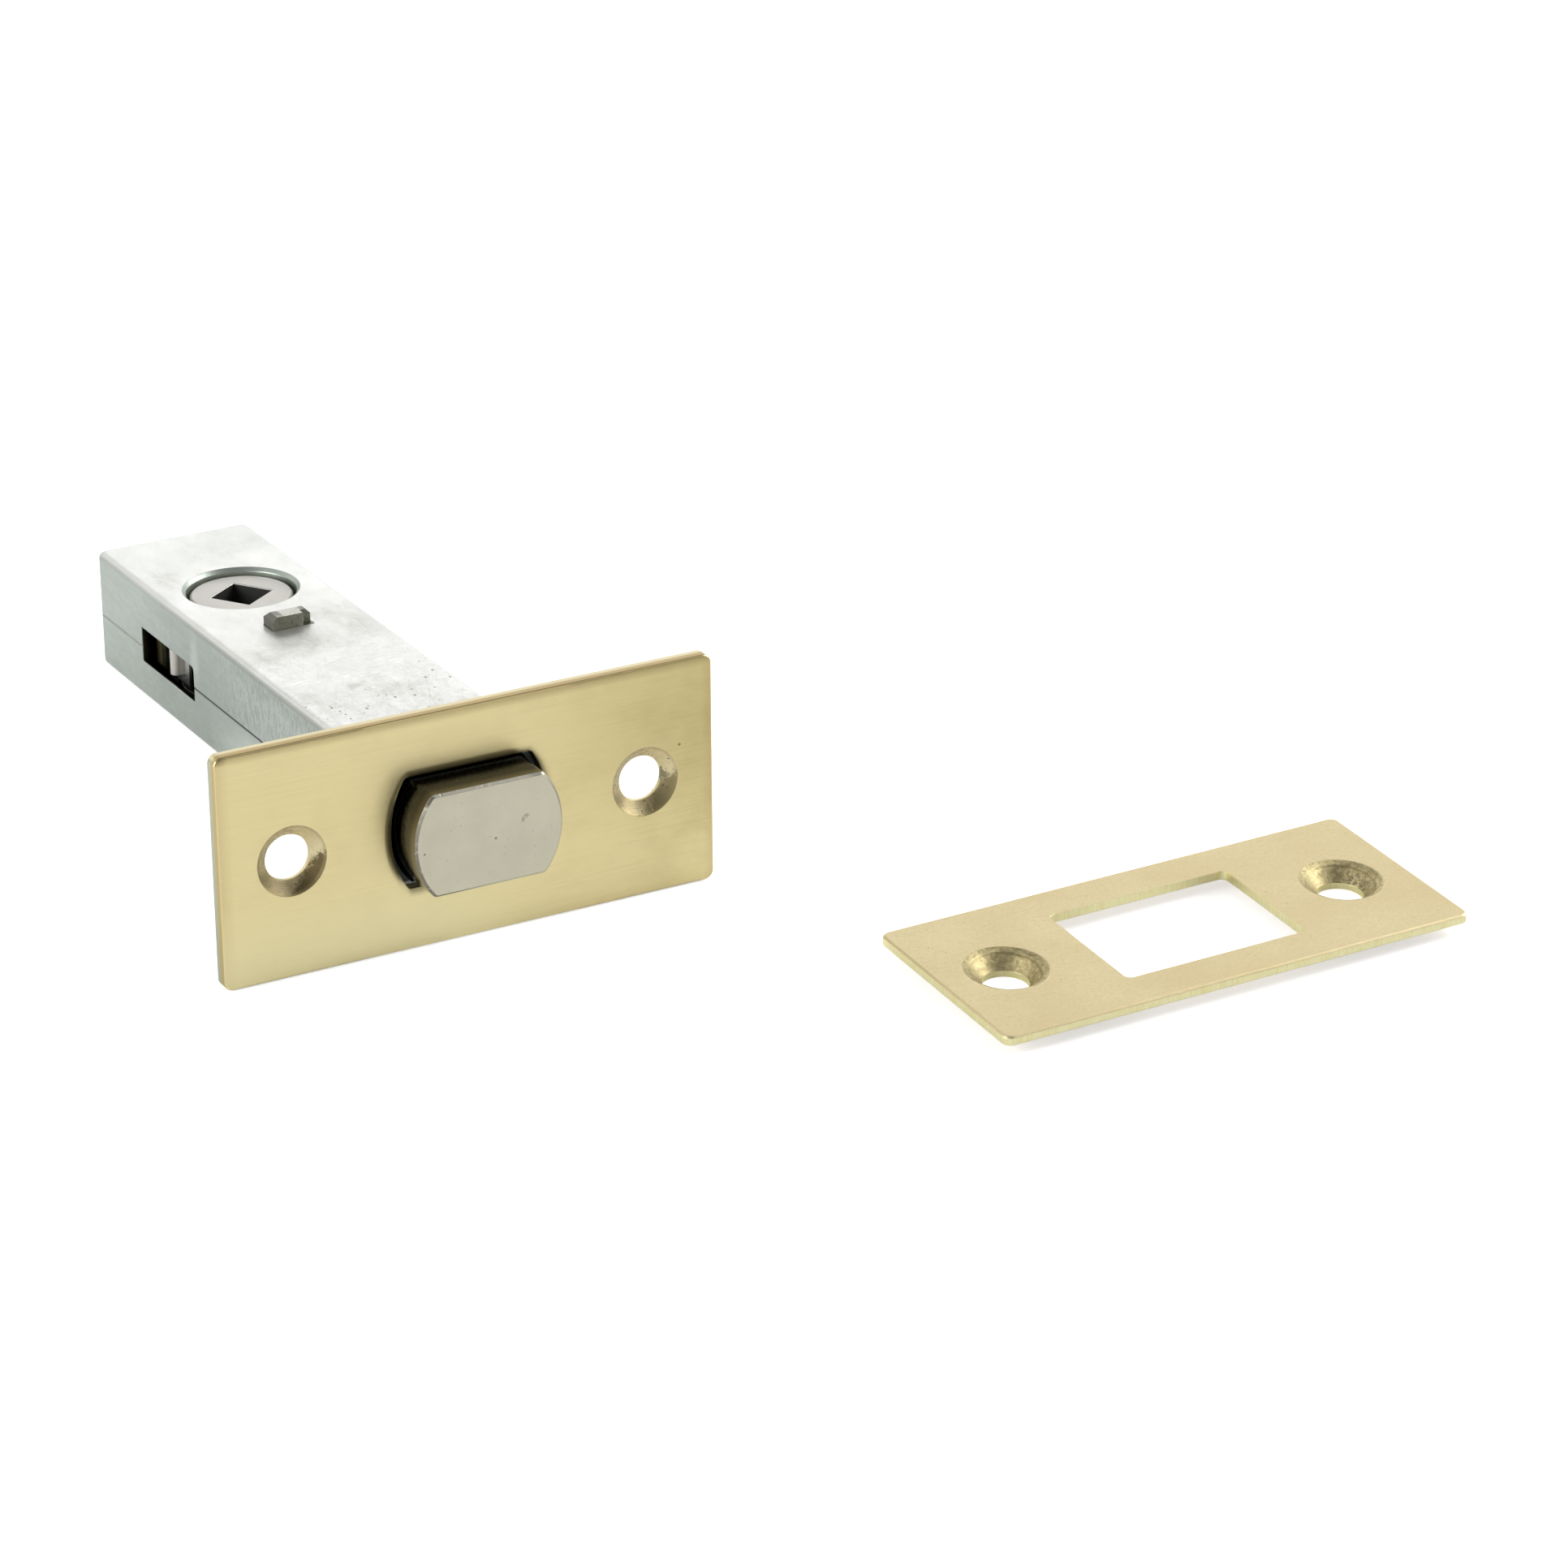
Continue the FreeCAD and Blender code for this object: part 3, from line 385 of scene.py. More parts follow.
def matte_brass():
    """Tumbled brass of the strike plate, with sheared edges and pressed, stained countersinks."""
    metal = Shader("matte_brass")
    grain = metal.noise(metal.stretched(3.0, 3.0, 3.0), detail=5.0, rough=0.7)
    drawn = metal.noise(metal.stretched(0.9, 2.6, 2.6), detail=5.0, rough=0.7)
    cloud = metal.noise(metal.stretched(0.09, 0.12, 0.09), detail=4.0)
    level = metal.off(metal.up)
    flat = metal.spread(level, 0.97, 0.99)
    wall = metal.spread(level, 0.6, 0.3)

    # Flat faces, with scattered freckles
    patches = metal.spread(metal.noise(metal.stretched(0.3, 0.3, 0.3)), 0.5, 0.6)
    freckles = metal.both(metal.spread(metal.cells(1.4), 0.20, 0.08), patches, flat)
    color = metal.layers(
        metal.mix(metal.spread(cloud, 0.3, 0.7), (0.715, 0.60, 0.35), (0.785, 0.68, 0.425)),
        (metal.spread(metal.x, 60.0, 94.0), 0.35, (0.66, 0.55, 0.32)),
        (metal.spread(grain, 0.45, 0.65), 0.30, (0.64, 0.53, 0.28)),
        (metal.spread(drawn, 0.50, 0.66), 0.40, (0.66, 0.55, 0.29)),
        (freckles, 0.35, (0.42, 0.34, 0.18)))

    # Sheared walls, and a darker line along the edges
    shear = metal.noise(metal.stretched(3.5, 3.5, 0.3), detail=4.0, rough=0.65)
    sheared = metal.mix(metal.spread(shear, 0.35, 0.65), (0.90, 0.82, 0.44), (0.97, 0.93, 0.60))
    color = metal.mix(wall, color, sheared)
    dark_edges = metal.both(metal.edges(0.16), metal.spread(level, 0.1, 0.6, 0.35, 1.0))
    color = metal.stain(color, metal.both(dark_edges, metal.outside(wall)), 0.10, (0.40, 0.33, 0.15))

    # Dishes of the countersinks, each with painted shade to its left and rear and a dark line below its mouth
    speckle = metal.noise(metal.stretched(2.2, 2.2, 2.2), detail=5.0, rough=0.75)
    dished = metal.mix(metal.spread(speckle, 0.40, 0.62), (0.36, 0.30, 0.15), (0.62, 0.53, 0.29))
    lines, dishes = [], []
    for x, y, z in STRIKE_SCREWS:
        left = metal.near((x - 2.8, y - 0.6, z), (2.0, 2.8, 2.0), 0.6, 0.3, 2.0)
        rear = metal.near((x + 0.4, y + 3.4, z), (2.6, 1.7, 2.0), 0.7, 0.2, 2.0)
        dished = metal.layers(dished, (left, 0.85, (0.20, 0.172, 0.095)), (rear, 0.65, (0.22, 0.19, 0.09)))
        radius = metal.from_axis(metal.x, metal.y, (x, y))
        lines.append(metal.both(metal.spread(radius, STRIKE_DISH_RADIUS - 0.75, STRIKE_DISH_RADIUS - 0.62),
                                metal.spread(radius, STRIKE_DISH_RADIUS - 0.42, STRIKE_DISH_RADIUS - 0.55)))
        dishes.append(metal.spread(radius, STRIKE_DISH_RADIUS + 0.3, STRIKE_DISH_RADIUS + 0.15))
    cone = metal.both(metal.spread(level, 0.985, 0.96), metal.spread(level, 0.3, 0.5), metal.either(*dishes))
    far_x, far_y, far_z = STRIKE_SCREWS[1]
    black = metal.either(metal.near((far_x + 2.6, far_y + 0.6, far_z), (1.6, 2.0, 2.0), 0.5, 0.6, 2.4),
                         metal.near((far_x - 2.7, far_y - 0.3, far_z), (1.0, 1.6, 2.0), 0.5, 0.6, 2.4))
    dished = metal.layers(
        dished,
        # Painted shade on the dish walls that face +x
        (metal.spread(metal.across, 0.15, 0.5), 0.75, (0.21, 0.18, 0.10)),
        (metal.either(*lines), 0.55, (0.20, 0.17, 0.08)),
        (metal.both(black, metal.spread(speckle, 0.58, 0.42)), 0.9, (0.08, 0.07, 0.06)))
    color = metal.mix(cone, color, dished)

    height = metal.total((grain, 0.9), (drawn, 1.0), (metal.both(wall, shear), 1.2),
                         (metal.both(cone, speckle), 4.0), (freckles, -1.5))
    roughness = metal.spread(grain, 0.3, 0.7, 0.42, 0.56)
    return metal.finish(color, roughness, metal.bump(height, 0.012, metal.softened(0.12)))


def cast_zinc():
    """Die cast zinc of the case: smudged on top, which is painted bright as if lit, painted in grey-green
    shade on its sides, scratched and pitted.
    """
    metal = Shader("cast_zinc")
    cloud = metal.noise(metal.stretched(0.16, 0.10, 0.16), detail=4.0, rough=0.55, distortion=0.6)
    smear = metal.noise(metal.stretched(0.7, 0.30, 0.9), detail=4.0, rough=0.62, distortion=1.0)
    fine = metal.noise(metal.stretched(5.0, 5.0, 5.0), detail=3.0, rough=0.6)
    level = metal.off(metal.up)
    sideways = metal.off(metal.x)
    flat = metal.spread(level, 0.6, 0.9)
    upright = metal.spread(level, 0.5, 0.2)

    # Top, with smudges at given places: x, y, their reach along both, and their share
    slanted = metal.total((metal.y, 1.0), (metal.x, -0.10), (cloud, 4.0))
    # Painted shade on the top just ahead of the pillar
    shade_ahead_of_pillar = metal.both(metal.spread(slanted, 36.8, 37.9), metal.spread(metal.y, 56.0, 46.0))
    front_smear = metal.both(metal.spread(metal.y, 28.0, 21.0), metal.spread(smear, 0.40, 0.60))
    lit_top = metal.layers(
        metal.mix(metal.spread(cloud, 0.35, 0.7), (0.84, 0.845, 0.82), (0.79, 0.80, 0.775)),
        (metal.spread(smear, 0.5, 0.75), 0.22, (0.66, 0.67, 0.645)),
        (shade_ahead_of_pillar, 0.28, (0.64, 0.635, 0.59)),
        (metal.spread(metal.y, 60.0, 70.0), 0.45, (0.66, 0.68, 0.64)),
        (front_smear, 0.25, (0.60, 0.58, 0.53)))
    smudges = ((4.2, 45.8, 3.6, 2.4, 0.75), (-1.5, 38.6, 5.0, 3.2, 0.70), (-6.2, 63.5, 2.2, 4.5, 0.70),
               (6.5, 41.0, 3.0, 4.5, 0.45), (-1.4, 24.0, 2.6, 2.0, 0.65), (2.0, 21.6, 3.2, 2.2, 0.45),
               (-6.8, 36.0, 1.6, 6.0, 0.60), (3.5, 69.0, 6.0, 5.0, 0.20), (-7.6, 22.0, 1.3, 4.0, 0.55))
    for x, y, reach_x, reach_y, share in smudges:
        patch = metal.near((x, y, CASE_TOP), (reach_x, reach_y, 1.0), 0.8, 0.45, 0.8)
        lit_top = metal.stain(lit_top, metal.both(patch, metal.spread(smear, 0.25, 0.60)), share,
                             (0.55, 0.545, 0.50))

    # Sides, with painted light towards the plate, low at the front, towards the rear and in patches, and a
    # painted reflection of the plate's back below the arris; their upper half is scuffed towards the plate
    rough_skin = metal.noise(metal.stretched(1.6, 1.6, 1.6), detail=5.0, rough=0.7)
    lit_patches = metal.either(metal.near((-CASE_SIDE, 30.0, -4.4), (3.0, 16.0, 3.4), 0.7, 0.3, 0.5),
                         metal.near((-CASE_SIDE, 49.5, 2.6), (3.0, 1.6, 3.6), 0.7, 0.3, 0.8))
    lit_front_low = metal.both(metal.spread(metal.y, 46.0, 28.0), metal.spread(metal.z, -0.9, -2.2))
    plate_reflection_band = metal.both(metal.spread(metal.y, 40.0, 22.0),
                      metal.spread(metal.z, CASE_TOP - 3.0, CASE_TOP - 1.6),
                      metal.spread(metal.z, CASE_TOP - 0.7, CASE_TOP - 1.1))
    hairs = metal.either(metal.scratches("X", 16.0, 0.45, 2.4, 0.54, 0.60),
                         metal.scratches("X", -12.0, 0.40, 1.8, 0.56, 0.62))
    pebbles = metal.spread(metal.noise(metal.stretched(2.4, 2.4, 2.4), detail=3.0, rough=0.8), 0.46, 0.36)
    scuffs = metal.both(metal.either(hairs, pebbles), metal.spread(metal.y, 47.0, 38.0),
                        metal.spread(metal.z, -1.6, 0.2))
    side_shade = metal.layers(
        metal.mix(metal.spread(cloud, 0.35, 0.7), (0.50, 0.55, 0.505), (0.55, 0.60, 0.555)),
        (metal.spread(smear, 0.42, 0.62), 0.40, (0.42, 0.47, 0.425)),
        (metal.spread(rough_skin, 0.48, 0.66), 0.20, (0.40, 0.44, 0.405)),
        (metal.spread(metal.y, 58.0, 66.0), 0.25, (0.64, 0.69, 0.64)),
        (lit_patches, 0.60, (0.74, 0.79, 0.73)),
        (metal.spread(metal.y, 48.0, 26.0), 0.50, (0.76, 0.82, 0.77)),
        (lit_front_low, 0.30, (0.84, 0.90, 0.84)),
        (plate_reflection_band, 0.40, (0.40, 0.45, 0.40)),
        (scuffs, 0.40, (0.30, 0.33, 0.305)))

    # Pits and scratches of the top, painted shade on its arris, darker lines just below the arris, and the
    # dark parting line
    places = ((2.83, 18.64), (7.59, 24.13), (6.04, 22.65), (0.8, 19.25), (-3.18, 17.84), (-6.34, 19.86))
    holes = [metal.near((x, y, CASE_TOP), (0.16, 0.28, 0.5), 0.5) for x, y in places]
    pits = metal.both(metal.spread(metal.cells(0.8), 0.17, 0.06), flat,
                      metal.either(metal.spread(metal.y, 26.0, 20.0), metal.spread(metal.x, 4.5, 7.5)),
                      metal.spread(metal.noise(metal.stretched(0.9, 0.9, 0.9), detail=1.0), 0.50, 0.56),
                      metal.spread(metal.y, 40.0, 30.0))
    pits = metal.either(pits, metal.either(*holes))
    lines = metal.either(metal.scratches("Z", 24.0, 0.45, 5.0, 0.56, 0.64),
                         metal.scratches("Z", 78.0, 0.40, 4.0, 0.57, 0.65))
    lines = metal.both(lines, flat, metal.spread(metal.y, 40.0, 32.0, 0.35, 1.0))
    arris_shade = metal.both(metal.spread(metal.up, 0.97, 0.92), metal.spread(metal.up, 0.25, 0.45),
                       metal.spread(sideways, CASE_SIDE - 1.0, CASE_SIDE - 0.7))
    below_arris = metal.both(metal.spread(metal.z, CASE_TOP - 1.0, CASE_TOP - 0.8),
                             metal.spread(metal.z, CASE_TOP - 0.25, CASE_TOP - 0.5),
                             metal.spread(sideways, CASE_SIDE - 0.9, CASE_SIDE - 0.6),
                             metal.spread(metal.y, 62.0, 44.0, 0.3, 1.0))
    parting = metal.both(metal.spread(metal.off(metal.z, PARTING_LEVEL), 0.18, 0.09),
                         metal.spread(level, 0.9, 0.8),
                         metal.spread(metal.y, 62.0, 50.0, 0.45, 1.0))
    front_dark_line = metal.both(metal.spread(metal.y, 44.0, 30.0),
                       metal.spread(metal.z, CASE_TOP - 1.05, CASE_TOP - 0.85),
                       metal.spread(metal.z, CASE_TOP - 0.45, CASE_TOP - 0.7),
                       metal.spread(metal.off(metal.across), 0.3, 0.6))
    color = metal.layers(
        metal.mix(upright, lit_top, side_shade),
        (pits, 0.8, (0.12, 0.12, 0.11)),
        (lines, 0.13, (0.52, 0.515, 0.47)),
        (arris_shade, 0.50, (0.64, 0.64, 0.60)),
        (below_arris, 0.75, (0.40, 0.43, 0.395)),
        (parting, 0.92, (0.07, 0.08, 0.075)),
        (front_dark_line, 0.30, (0.45, 0.44, 0.40)))

    # Wall of the hub's bore in painted shade, and painted black shade inside the case
    hub_far = metal.from_axis(metal.x, metal.y, (0.0, HUB_Y))
    bore = metal.both(metal.spread(hub_far, BORE_REACH, BORE_REACH - 0.15), metal.spread(level, 0.97, 0.90))
    shaded_bore_wall = metal.mix(metal.spread(level, 0.8, 0.4), (0.40, 0.445, 0.40), (0.44, 0.48, 0.43))
    below_faces = metal.off(metal.z)
    shaded_inside = metal.both(metal.spread(sideways, CASE_SIDE - 0.10, CASE_SIDE - 0.16),
                        metal.spread(below_faces, CASE_TOP - 0.9, CASE_TOP - 1.2),
                        metal.spread(metal.y, 74.6, 74.2),
                        metal.either(metal.spread(hub_far, BORE_REACH - 0.1, BORE_REACH + 0.1),
                                     metal.spread(below_faces, CASE_TOP - 2.0, CASE_TOP - 2.3)))
    color = metal.mix(shaded_inside, metal.mix(bore, color, shaded_bore_wall), (0.04, 0.045, 0.04))

    height = metal.total((fine, 0.35), (lines, -0.8), (scuffs, -0.8), (smear, 1.2), (pits, -3.0))
    roughness = metal.spread(metal.total((cloud, 0.5), (smear, 0.5)), 0.3, 0.7, 0.36, 0.50)
    return metal.finish(color, roughness, metal.bump(height, 0.014, metal.softened(0.18)))


def hub_zinc():
    """Die cast zinc of the follower: rosy grey, with painted shade in its square hole, on its lip and where
    the window shows it.
    """
    metal = Shader("hub_zinc")
    metal.surface.inputs["Metallic"].default_value = 0.4
    cloud = metal.noise(metal.stretched(0.35, 0.35, 0.35), detail=4.0, rough=0.6, distortion=0.5)
    fine = metal.noise(metal.stretched(5.0, 5.0, 5.0), detail=3.0, rough=0.6)
    level = metal.off(metal.up)
    hub_far = metal.from_axis(metal.x, metal.y, (0.0, HUB_Y))
    within_square = metal.spread(hub_far, 4.4, 4.2)
    hole_shade = metal.both(metal.spread(level, 0.6, 0.4), within_square)
    flange_shade = metal.both(metal.spread(metal.off(metal.z), 5.5, 5.3), metal.spread(metal.z, -2.6, -2.9))
    lip_shade = metal.both(metal.spread(level, 0.95, 0.85), within_square, metal.outside(hole_shade))
    rim = metal.both(metal.edges(0.25), metal.spread(hub_far, 5.2, 5.6))
    color = metal.mix(metal.spread(cloud, 0.35, 0.68), (0.56, 0.545, 0.495), (0.51, 0.50, 0.46))
    # Painted shade in the square hole, on the flange where the window shows it, and on the lip round the hole
    color = metal.mix(hole_shade, color, (0.045, 0.045, 0.04))
    color = metal.mix(flange_shade, color, (0.05, 0.05, 0.045))
    color = metal.layers(color, (lip_shade, 0.6, (0.36, 0.35, 0.32)), (rim, 0.5, (0.68, 0.55, 0.50)))
    roughness = metal.spread(fine, 0.3, 0.7, 0.38, 0.48)
    return metal.finish(color, roughness,
                        metal.bump(metal.total((fine, 0.5), (cloud, 1.0)), 0.012, metal.softened(0.12)))


def satin_nickel():
    """Nickel plate: satin on the bolt's end, with painted shade on its bevel, and nearly polished and grimy
    on its shaft, which carries painted reflections.
    """
    metal = Shader("satin_nickel")
    fine = metal.noise(metal.stretched(5.0, 5.0, 5.0), detail=3.0, rough=0.6)
    cloud = metal.noise(metal.stretched(0.22, 0.22, 0.22), detail=3.0)
    end = metal.spread(metal.along, -0.55, -0.9)

    # Flat end, with flecks at given places: x, z, and their reach along both
    tiny = metal.both(metal.spread(metal.cells(0.7), 0.13, 0.05),
                      metal.spread(metal.noise(metal.stretched(0.8, 0.8, 0.8), detail=1.0), 0.48, 0.56))
    flecks = ((0.65, -0.49, 0.16, 0.17), (-7.49, -0.55, 0.14, 0.15), (-5.33, 5.63, 0.20, 0.18),
              (-0.49, 5.62, 0.14, 0.12))
    specks = metal.either(*(metal.near((x, NOSE, z), (reach_x, 0.4, reach_z), 0.5)
                            for x, z, reach_x, reach_z in flecks))
    smudge = metal.either(metal.near((4.25, NOSE, 1.30), (0.34, 0.4, 0.26), 0.6, 0.3, 4.0),
                          metal.near((3.85, NOSE, 0.95), (0.26, 0.4, 0.40), 0.6, 0.3, 4.0))
    color = metal.layers(
        metal.mix(metal.spread(cloud, 0.3, 0.7), (0.665, 0.64, 0.51), (0.725, 0.70, 0.56)),
        (metal.both(tiny, end), 0.35, (0.34, 0.31, 0.24)),
        (specks, 0.8, (0.14, 0.12, 0.10)),
        (smudge, 0.6, (0.30, 0.28, 0.23)))

    # Bevel round the end, lighter above, with painted shade on its lower left and its right, painted glints,
    # darker specks and a dark notch
    notch = metal.near((-7.0, NOSE + 0.1, 5.2), (0.95, 0.5, 0.75), 0.4, 0.35, 2.0)
    bevel = metal.both(metal.spread(metal.along, -0.95, -0.85), metal.spread(metal.along, -0.3, -0.45))
    glints_and_specks = metal.noise(metal.stretched(2.0, 2.0, 2.0), detail=4.0, rough=0.7)
    lit = metal.spread(metal.up, 0.3, 0.6)
    color = metal.layers(
        color,
        (bevel, 0.55, (0.50, 0.48, 0.40)),
        (metal.both(bevel, metal.outside(lit), metal.spread(metal.x, 0.0, -5.0)), 0.75, (0.17, 0.16, 0.13)),
        (metal.both(bevel, lit), 0.40, (0.40, 0.38, 0.33)),
        (metal.both(bevel, metal.spread(glints_and_specks, 0.56, 0.68)), 0.45, (0.84, 0.82, 0.73)),
        # Painted shade on the right of the bevel
        (metal.both(bevel, metal.spread(metal.x, 4.5, 6.0), metal.spread(metal.z, 0.0, 2.5)), 0.8,
         (0.28, 0.27, 0.23)),
        (metal.both(bevel, metal.spread(glints_and_specks, 0.40, 0.30)), 0.6, (0.22, 0.20, 0.17)),
        (metal.both(bevel, notch), 0.85, (0.10, 0.09, 0.07)))

    # Shaft, with a painted brown reflection, painted shade on its left side, and a nearly black painted
    # reflection from a little way behind the end, where grime and painted lighter specks lie
    shaft = metal.spread(metal.along, -0.3, -0.1)
    grime_and_sheen = metal.spread(metal.noise(metal.stretched(3.0, 1.5, 3.0), detail=4.0, rough=0.7), 0.40, 0.66)
    color = metal.layers(
        color,
        (shaft, 0.85, (0.25, 0.215, 0.165)),
        (metal.both(shaft, metal.spread(metal.across, -0.3, -0.7)), 0.70, (0.20, 0.165, 0.12)),
        (metal.both(shaft, metal.spread(metal.y, NOSE + 0.4, NOSE + 1.6)), 0.88, (0.08, 0.08, 0.065)),
        (metal.both(shaft, grime_and_sheen, metal.spread(metal.y, NOSE + 1.6, NOSE + 2.6)), 0.30, (0.42, 0.42, 0.37)))

    roughness = metal.total((end, 0.28), (metal.spread(fine, 0.3, 0.7, -0.03, 0.03), 1.0), (grime_and_sheen, 0.06),
                            (bevel, 0.18), (1.0, 0.13))
    height = metal.total((metal.both(end, fine), 0.5), (tiny, -1.0), (specks, -2.0),
                         (metal.both(shaft, grime_and_sheen), 0.2))
    return metal.finish(color, roughness, metal.bump(height, 0.010, metal.softened(0.10)))


def spring_steel():
    """Drawn steel of the detent, with a faint stain and fine scratches."""
    metal = Shader("spring_steel")
    cloud = metal.noise(metal.stretched(0.5, 0.5, 0.5), detail=4.0, rough=0.6)
    fine = metal.noise(metal.stretched(6.0, 1.5, 6.0), detail=3.0, rough=0.6)
    color = metal.mix(metal.spread(cloud, 0.35, 0.65), (0.50, 0.50, 0.50), (0.42, 0.42, 0.42))
    roughness = metal.spread(fine, 0.3, 0.7, 0.22, 0.36)
    return metal.finish(color, roughness, metal.bump(fine, 0.012, metal.softened(0.10)))


def pillar_steel():
    """Pressed steel of the pillar: dark sides, sheared bright facets on its end."""
    metal = Shader("pillar_steel")
    cloud = metal.noise(metal.stretched(0.9, 0.9, 0.9), detail=4.0, rough=0.6)
    fine = metal.noise(metal.stretched(4.0, 4.0, 4.0), detail=4.0, rough=0.65)
    top = metal.spread(metal.up, 0.35, 0.75)
    ends = metal.both(metal.spread(metal.off(metal.across), 0.3, 0.7), metal.outside(top))
    crown = metal.both(metal.spread(metal.up, 0.9, 0.97), metal.spread(metal.off(metal.x, 0.1), 1.3, 1.1))
    color = metal.layers(
        metal.mix(metal.spread(cloud, 0.35, 0.65), (0.35, 0.355, 0.295), (0.29, 0.295, 0.24)),
        (ends, 0.75, (0.17, 0.17, 0.14)),
        (top, 0.85, (0.17, 0.17, 0.145)),
        (metal.both(top, metal.spread(cloud, 0.52, 0.62)), 0.5, (0.44, 0.42, 0.38)),
        # Painted shade on the faces that look to -x
        (metal.spread(metal.across, -0.25, -0.5), 0.85, (0.13, 0.13, 0.11)),
        (crown, 0.9, (0.57, 0.56, 0.50)),
        (metal.edges(0.14), 0.35, (0.12, 0.12, 0.10)),
        (metal.spread(fine, 0.60, 0.75), 0.45, (0.72, 0.68, 0.62)),
        (metal.spread(fine, 0.47, 0.36), 0.65, (0.15, 0.15, 0.12)))
    roughness = metal.spread(fine, 0.3, 0.7, 0.30, 0.44)
    return metal.finish(color, roughness,
                        metal.bump(metal.total((fine, 1.0), (cloud, 1.5)), 0.020, metal.softened(0.12)))


def tail_steel():
    """Steel of the tail: yellow passivated at its rear and silver further forward, with painted shade,
    painted reflection and a painted highlight where the window shows it.
    """
    metal = Shader("tail_steel")
    cloud = metal.noise(metal.stretched(0.5, 0.5, 0.5), detail=4.0, rough=0.6)
    fine = metal.noise(metal.stretched(6.0, 1.5, 6.0), detail=3.0, rough=0.6)
    silver = metal.mix(metal.spread(cloud, 0.35, 0.65), (0.92, 0.93, 0.90), (0.80, 0.81, 0.76))
    yellow = metal.mix(metal.spread(cloud, 0.35, 0.65), (0.98, 0.86, 0.38), (0.84, 0.74, 0.34))

    # Stripes along the tail, each from where its tint starts to where it is full: painted grey shade, painted
    # black shade, a dark painted reflection, the yellow passivation, and painted black shade ahead of the
    # middle pad
    color = silver
    stripes = ((58.6, 58.9, (0.52, 0.56, 0.44)), (61.7, 61.9, (0.05, 0.05, 0.03)),
               (62.4, 62.6, (0.26, 0.28, 0.19)), (63.3, 63.7, yellow), (56.1, 55.8, (0.04, 0.04, 0.035)))
    for start, full, tint in stripes:
        color = metal.mix(metal.spread(metal.y, start, full), color, tint)

    # Painted highlight on the slot's wall past x -6.4, and painted shade just before it
    slot = metal.both(metal.spread(metal.y, 59.2, 59.3), metal.spread(metal.y, 59.7, 59.6))
    slot_wall_shade = metal.both(slot, metal.spread(metal.x, -6.95, -6.85), metal.spread(metal.x, -6.35, -6.45))
    color = metal.mix(metal.both(slot, metal.spread(metal.x, -6.45, -6.35)), color, (0.95, 0.96, 0.93))
    color = metal.mix(slot_wall_shade, color, (0.16, 0.17, 0.07))
    # Painted black shade low on the tail
    color = metal.mix(metal.spread(metal.z, -3.0, -3.6), color, (0.05, 0.05, 0.04))
    roughness = metal.spread(fine, 0.3, 0.7, 0.28, 0.42)
    return metal.finish(color, roughness, metal.bump(fine, 0.012, metal.softened(0.10)))


def stage_floor():
    """Large white table under the lock and the strike plate, as white as the photo's to the camera."""
    mesh = bpy.data.meshes.new("table")
    corners = [(x * TABLE_REACH, y * TABLE_REACH, 0) for x, y in ((-1, -1), (1, -1), (1, 1), (-1, 1))]
    mesh.from_pydata(corners, [], [(0, 1, 2, 3)])
    table = bpy.data.objects.new("table", mesh)
    bpy.context.scene.collection.objects.link(table)
    under = Vector((0, PLATE_BACK, PLATE_LOW.z))
    table.matrix_world = Matrix.Translation(under) @ Matrix.Rotation(TABLE_TILT, 4, "X")
    material = bpy.data.materials.new("table_white")
    material.use_nodes = True
    nodes, links = material.node_tree.nodes, material.node_tree.links
    nodes.clear()
    output = nodes.new("ShaderNodeOutputMaterial")
    both = nodes.new("ShaderNodeAddShader")
    matt = nodes.new("ShaderNodeBsdfDiffuse")
    matt.inputs["Color"].default_value = (TABLE_WHITE, TABLE_WHITE, TABLE_WHITE, 1)
    glow = nodes.new("ShaderNodeEmission")
    path = nodes.new("ShaderNodeLightPath")
    level = nodes.new("ShaderNodeMath")
    level.operation = "MULTIPLY"
    level.inputs[1].default_value = TABLE_GLOW
    links.new(path.outputs["Is Camera Ray"], level.inputs[0])
    links.new(level.outputs[0], glow.inputs["Strength"])
    links.new(matt.outputs[0], both.inputs[0])
    links.new(glow.outputs[0], both.inputs[1])
    links.new(both.outputs[0], output.inputs["Surface"])
    mesh.materials.append(material)


def studio_world():
    """White surroundings, dimmer in front of and above the lock, where the photographer stands."""
    world = bpy.data.worlds.new("studio")
    bpy.context.scene.world = world
    world.use_nodes = True
    nodes, links = world.node_tree.nodes, world.node_tree.links
    nodes.clear()
    output = nodes.new("ShaderNodeOutputWorld")
    place = nodes.new("ShaderNodeTexCoord")
    front = nodes.new("ShaderNodeVectorMath")
    front.operation = "DOT_PRODUCT"
    front.inputs[1].default_value = WORLD_FRONT_WAY
    links.new(place.outputs["Generated"], front.inputs[0])
    dim = nodes.new("ShaderNodeMapRange")
    dim.interpolation_type = "SMOOTHSTEP"
    dim.inputs["From Min"].default_value = WORLD_DIM_START
    dim.inputs["From Max"].default_value = WORLD_DIM_END
    dim.inputs["To Min"].default_value = WORLD_LEVEL
    dim.inputs["To Max"].default_value = WORLD_FRONT
    links.new(front.outputs["Value"], dim.inputs["Value"])
    path = nodes.new("ShaderNodeLightPath")
    around = nodes.new("ShaderNodeBackground")
    links.new(dim.outputs[0], around.inputs["Strength"])
    seen = nodes.new("ShaderNodeBackground")
    seen.inputs["Strength"].default_value = WORLD_SEEN
    seen.inputs["Color"].default_value = (1, 1, 1, 1)
    either = nodes.new("ShaderNodeMixShader")
    links.new(path.outputs["Is Camera Ray"], either.inputs[0])
    links.new(around.outputs[0], either.inputs[1])
    links.new(seen.outputs[0], either.inputs[2])
    links.new(either.outputs[0], output.inputs["Surface"])


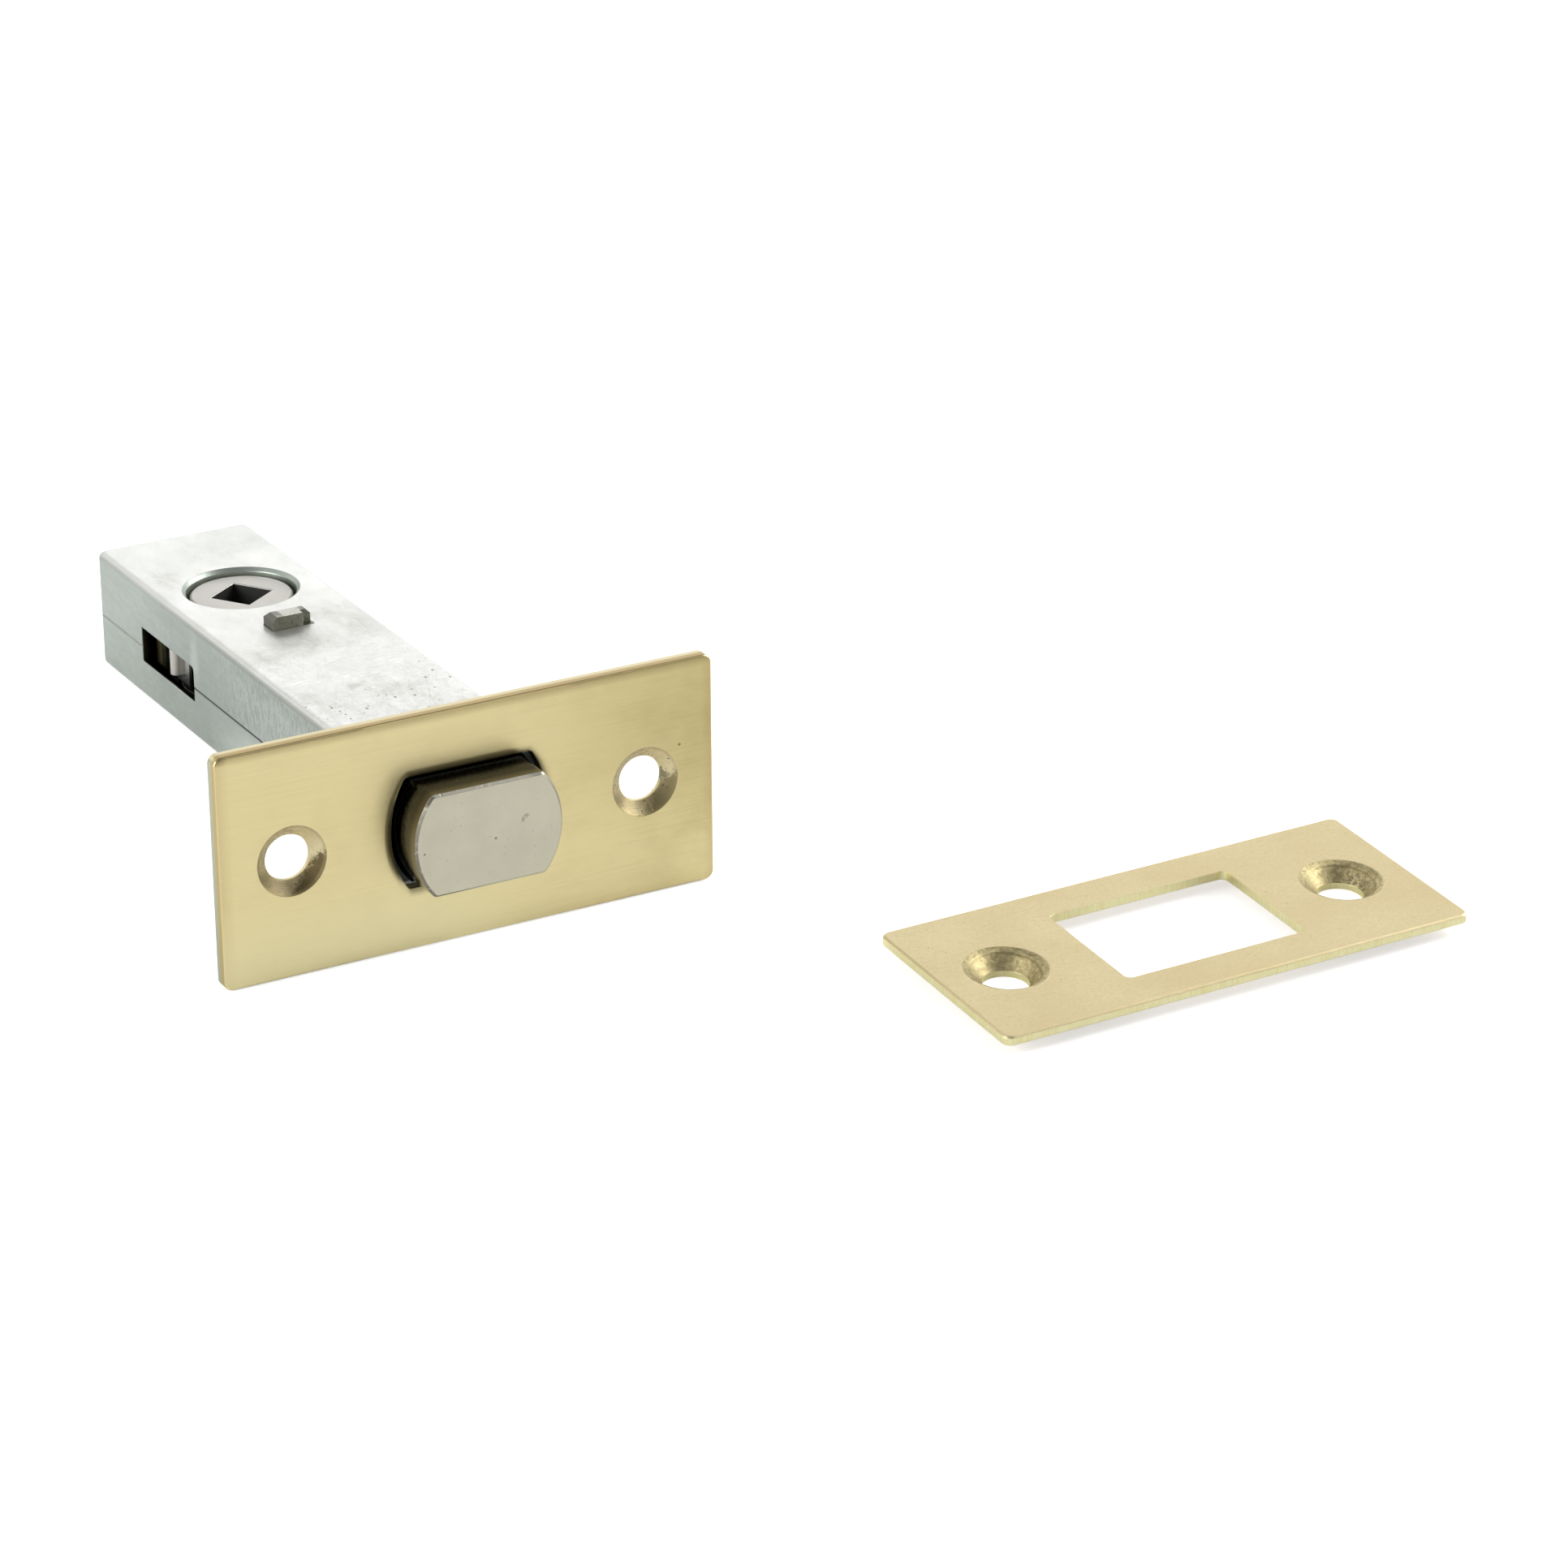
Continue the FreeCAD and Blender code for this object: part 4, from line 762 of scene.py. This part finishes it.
def softbox(name, place, target, width, height, power):
    """Rectangular lamp that faces a point, in metres and watts."""
    lamp = bpy.data.lights.new(name, "AREA")
    lamp.shape = "RECTANGLE"
    lamp.size = width
    lamp.size_y = height
    lamp.energy = power
    made = bpy.data.objects.new(name, lamp)
    bpy.context.scene.collection.objects.link(made)
    made.location = place
    made.rotation_mode = "QUATERNION"
    made.rotation_quaternion = (Vector(target) - Vector(place)).to_track_quat("-Z", "Y")


def studio_lamps():
    """Two main lamps at the sides, and two weak ones behind for the shadows and the far edges."""
    softbox("right", place=(0.75, -0.05, 0.40), target=(0.03, 0.0, 0.0), width=0.5, height=0.5, power=6.1)
    softbox("left", place=(-0.90, -0.05, 0.38), target=(0.0, -0.02, 0.0), width=0.5, height=0.5, power=7.4)
    softbox("rear_low", place=(0.35, 0.75, 0.35), target=(0.03, 0.0, 0.0), width=0.9, height=0.5, power=1.5)
    softbox("rear_left", place=(-0.39, 0.80, 0.45), target=(0.0, 0.04, 0.0), width=0.5, height=0.5, power=0.7)


def photo_camera():
    """Camera with the photograph's place, lens and roll."""
    azimuth = math.radians(CAMERA_AZIMUTH)
    elevation = math.radians(CAMERA_ELEVATION)
    away = Vector((math.sin(azimuth) * math.cos(elevation), -math.cos(azimuth) * math.cos(elevation),
                   math.sin(elevation)))
    right = (-away).cross(Vector((0, 0, 1))).normalized()
    up = right.cross(-away).normalized()
    roll = math.radians(CAMERA_ROLL)
    across = right * math.cos(roll) + up * math.sin(roll)
    top = up * math.cos(roll) - right * math.sin(roll)
    turned = Matrix((across, top, away)).transposed().to_4x4()
    data = bpy.data.cameras.new("camera")
    data.sensor_width = SENSOR_WIDTH
    data.lens = FOCAL_PIXELS / IMAGE_WIDTH * SENSOR_WIDTH
    data.clip_start = CLIP_NEAR
    data.clip_end = CLIP_FAR
    made = bpy.data.objects.new("camera", data)
    bpy.context.scene.collection.objects.link(made)
    made.matrix_world = Matrix.Translation(CAMERA_TARGET + away * CAMERA_DISTANCE) @ turned
    bpy.context.scene.camera = made


def dress(material, *nodes):
    """Give CAD nodes their material."""
    for node in nodes:
        mesh = frame["nodes"][node].data
        mesh.materials.clear()
        mesh.materials.append(material)


photo_camera()
stage_floor()
studio_world()
studio_lamps()

dress(brushed_brass(), "face_plate")
dress(matte_brass(), "strike_plate")
dress(satin_nickel(), "bolt_head")
dress(cast_zinc(), "case_upper", "case_lower")
dress(hub_zinc(), "follower")
dress(tail_steel(), "bolt_tail")
dress(pillar_steel(), "case_pillar", "tail_pin")
dress(spring_steel(), "detent_plunger", "detent_spring")

bpy.context.scene.view_settings.view_transform = "Standard"
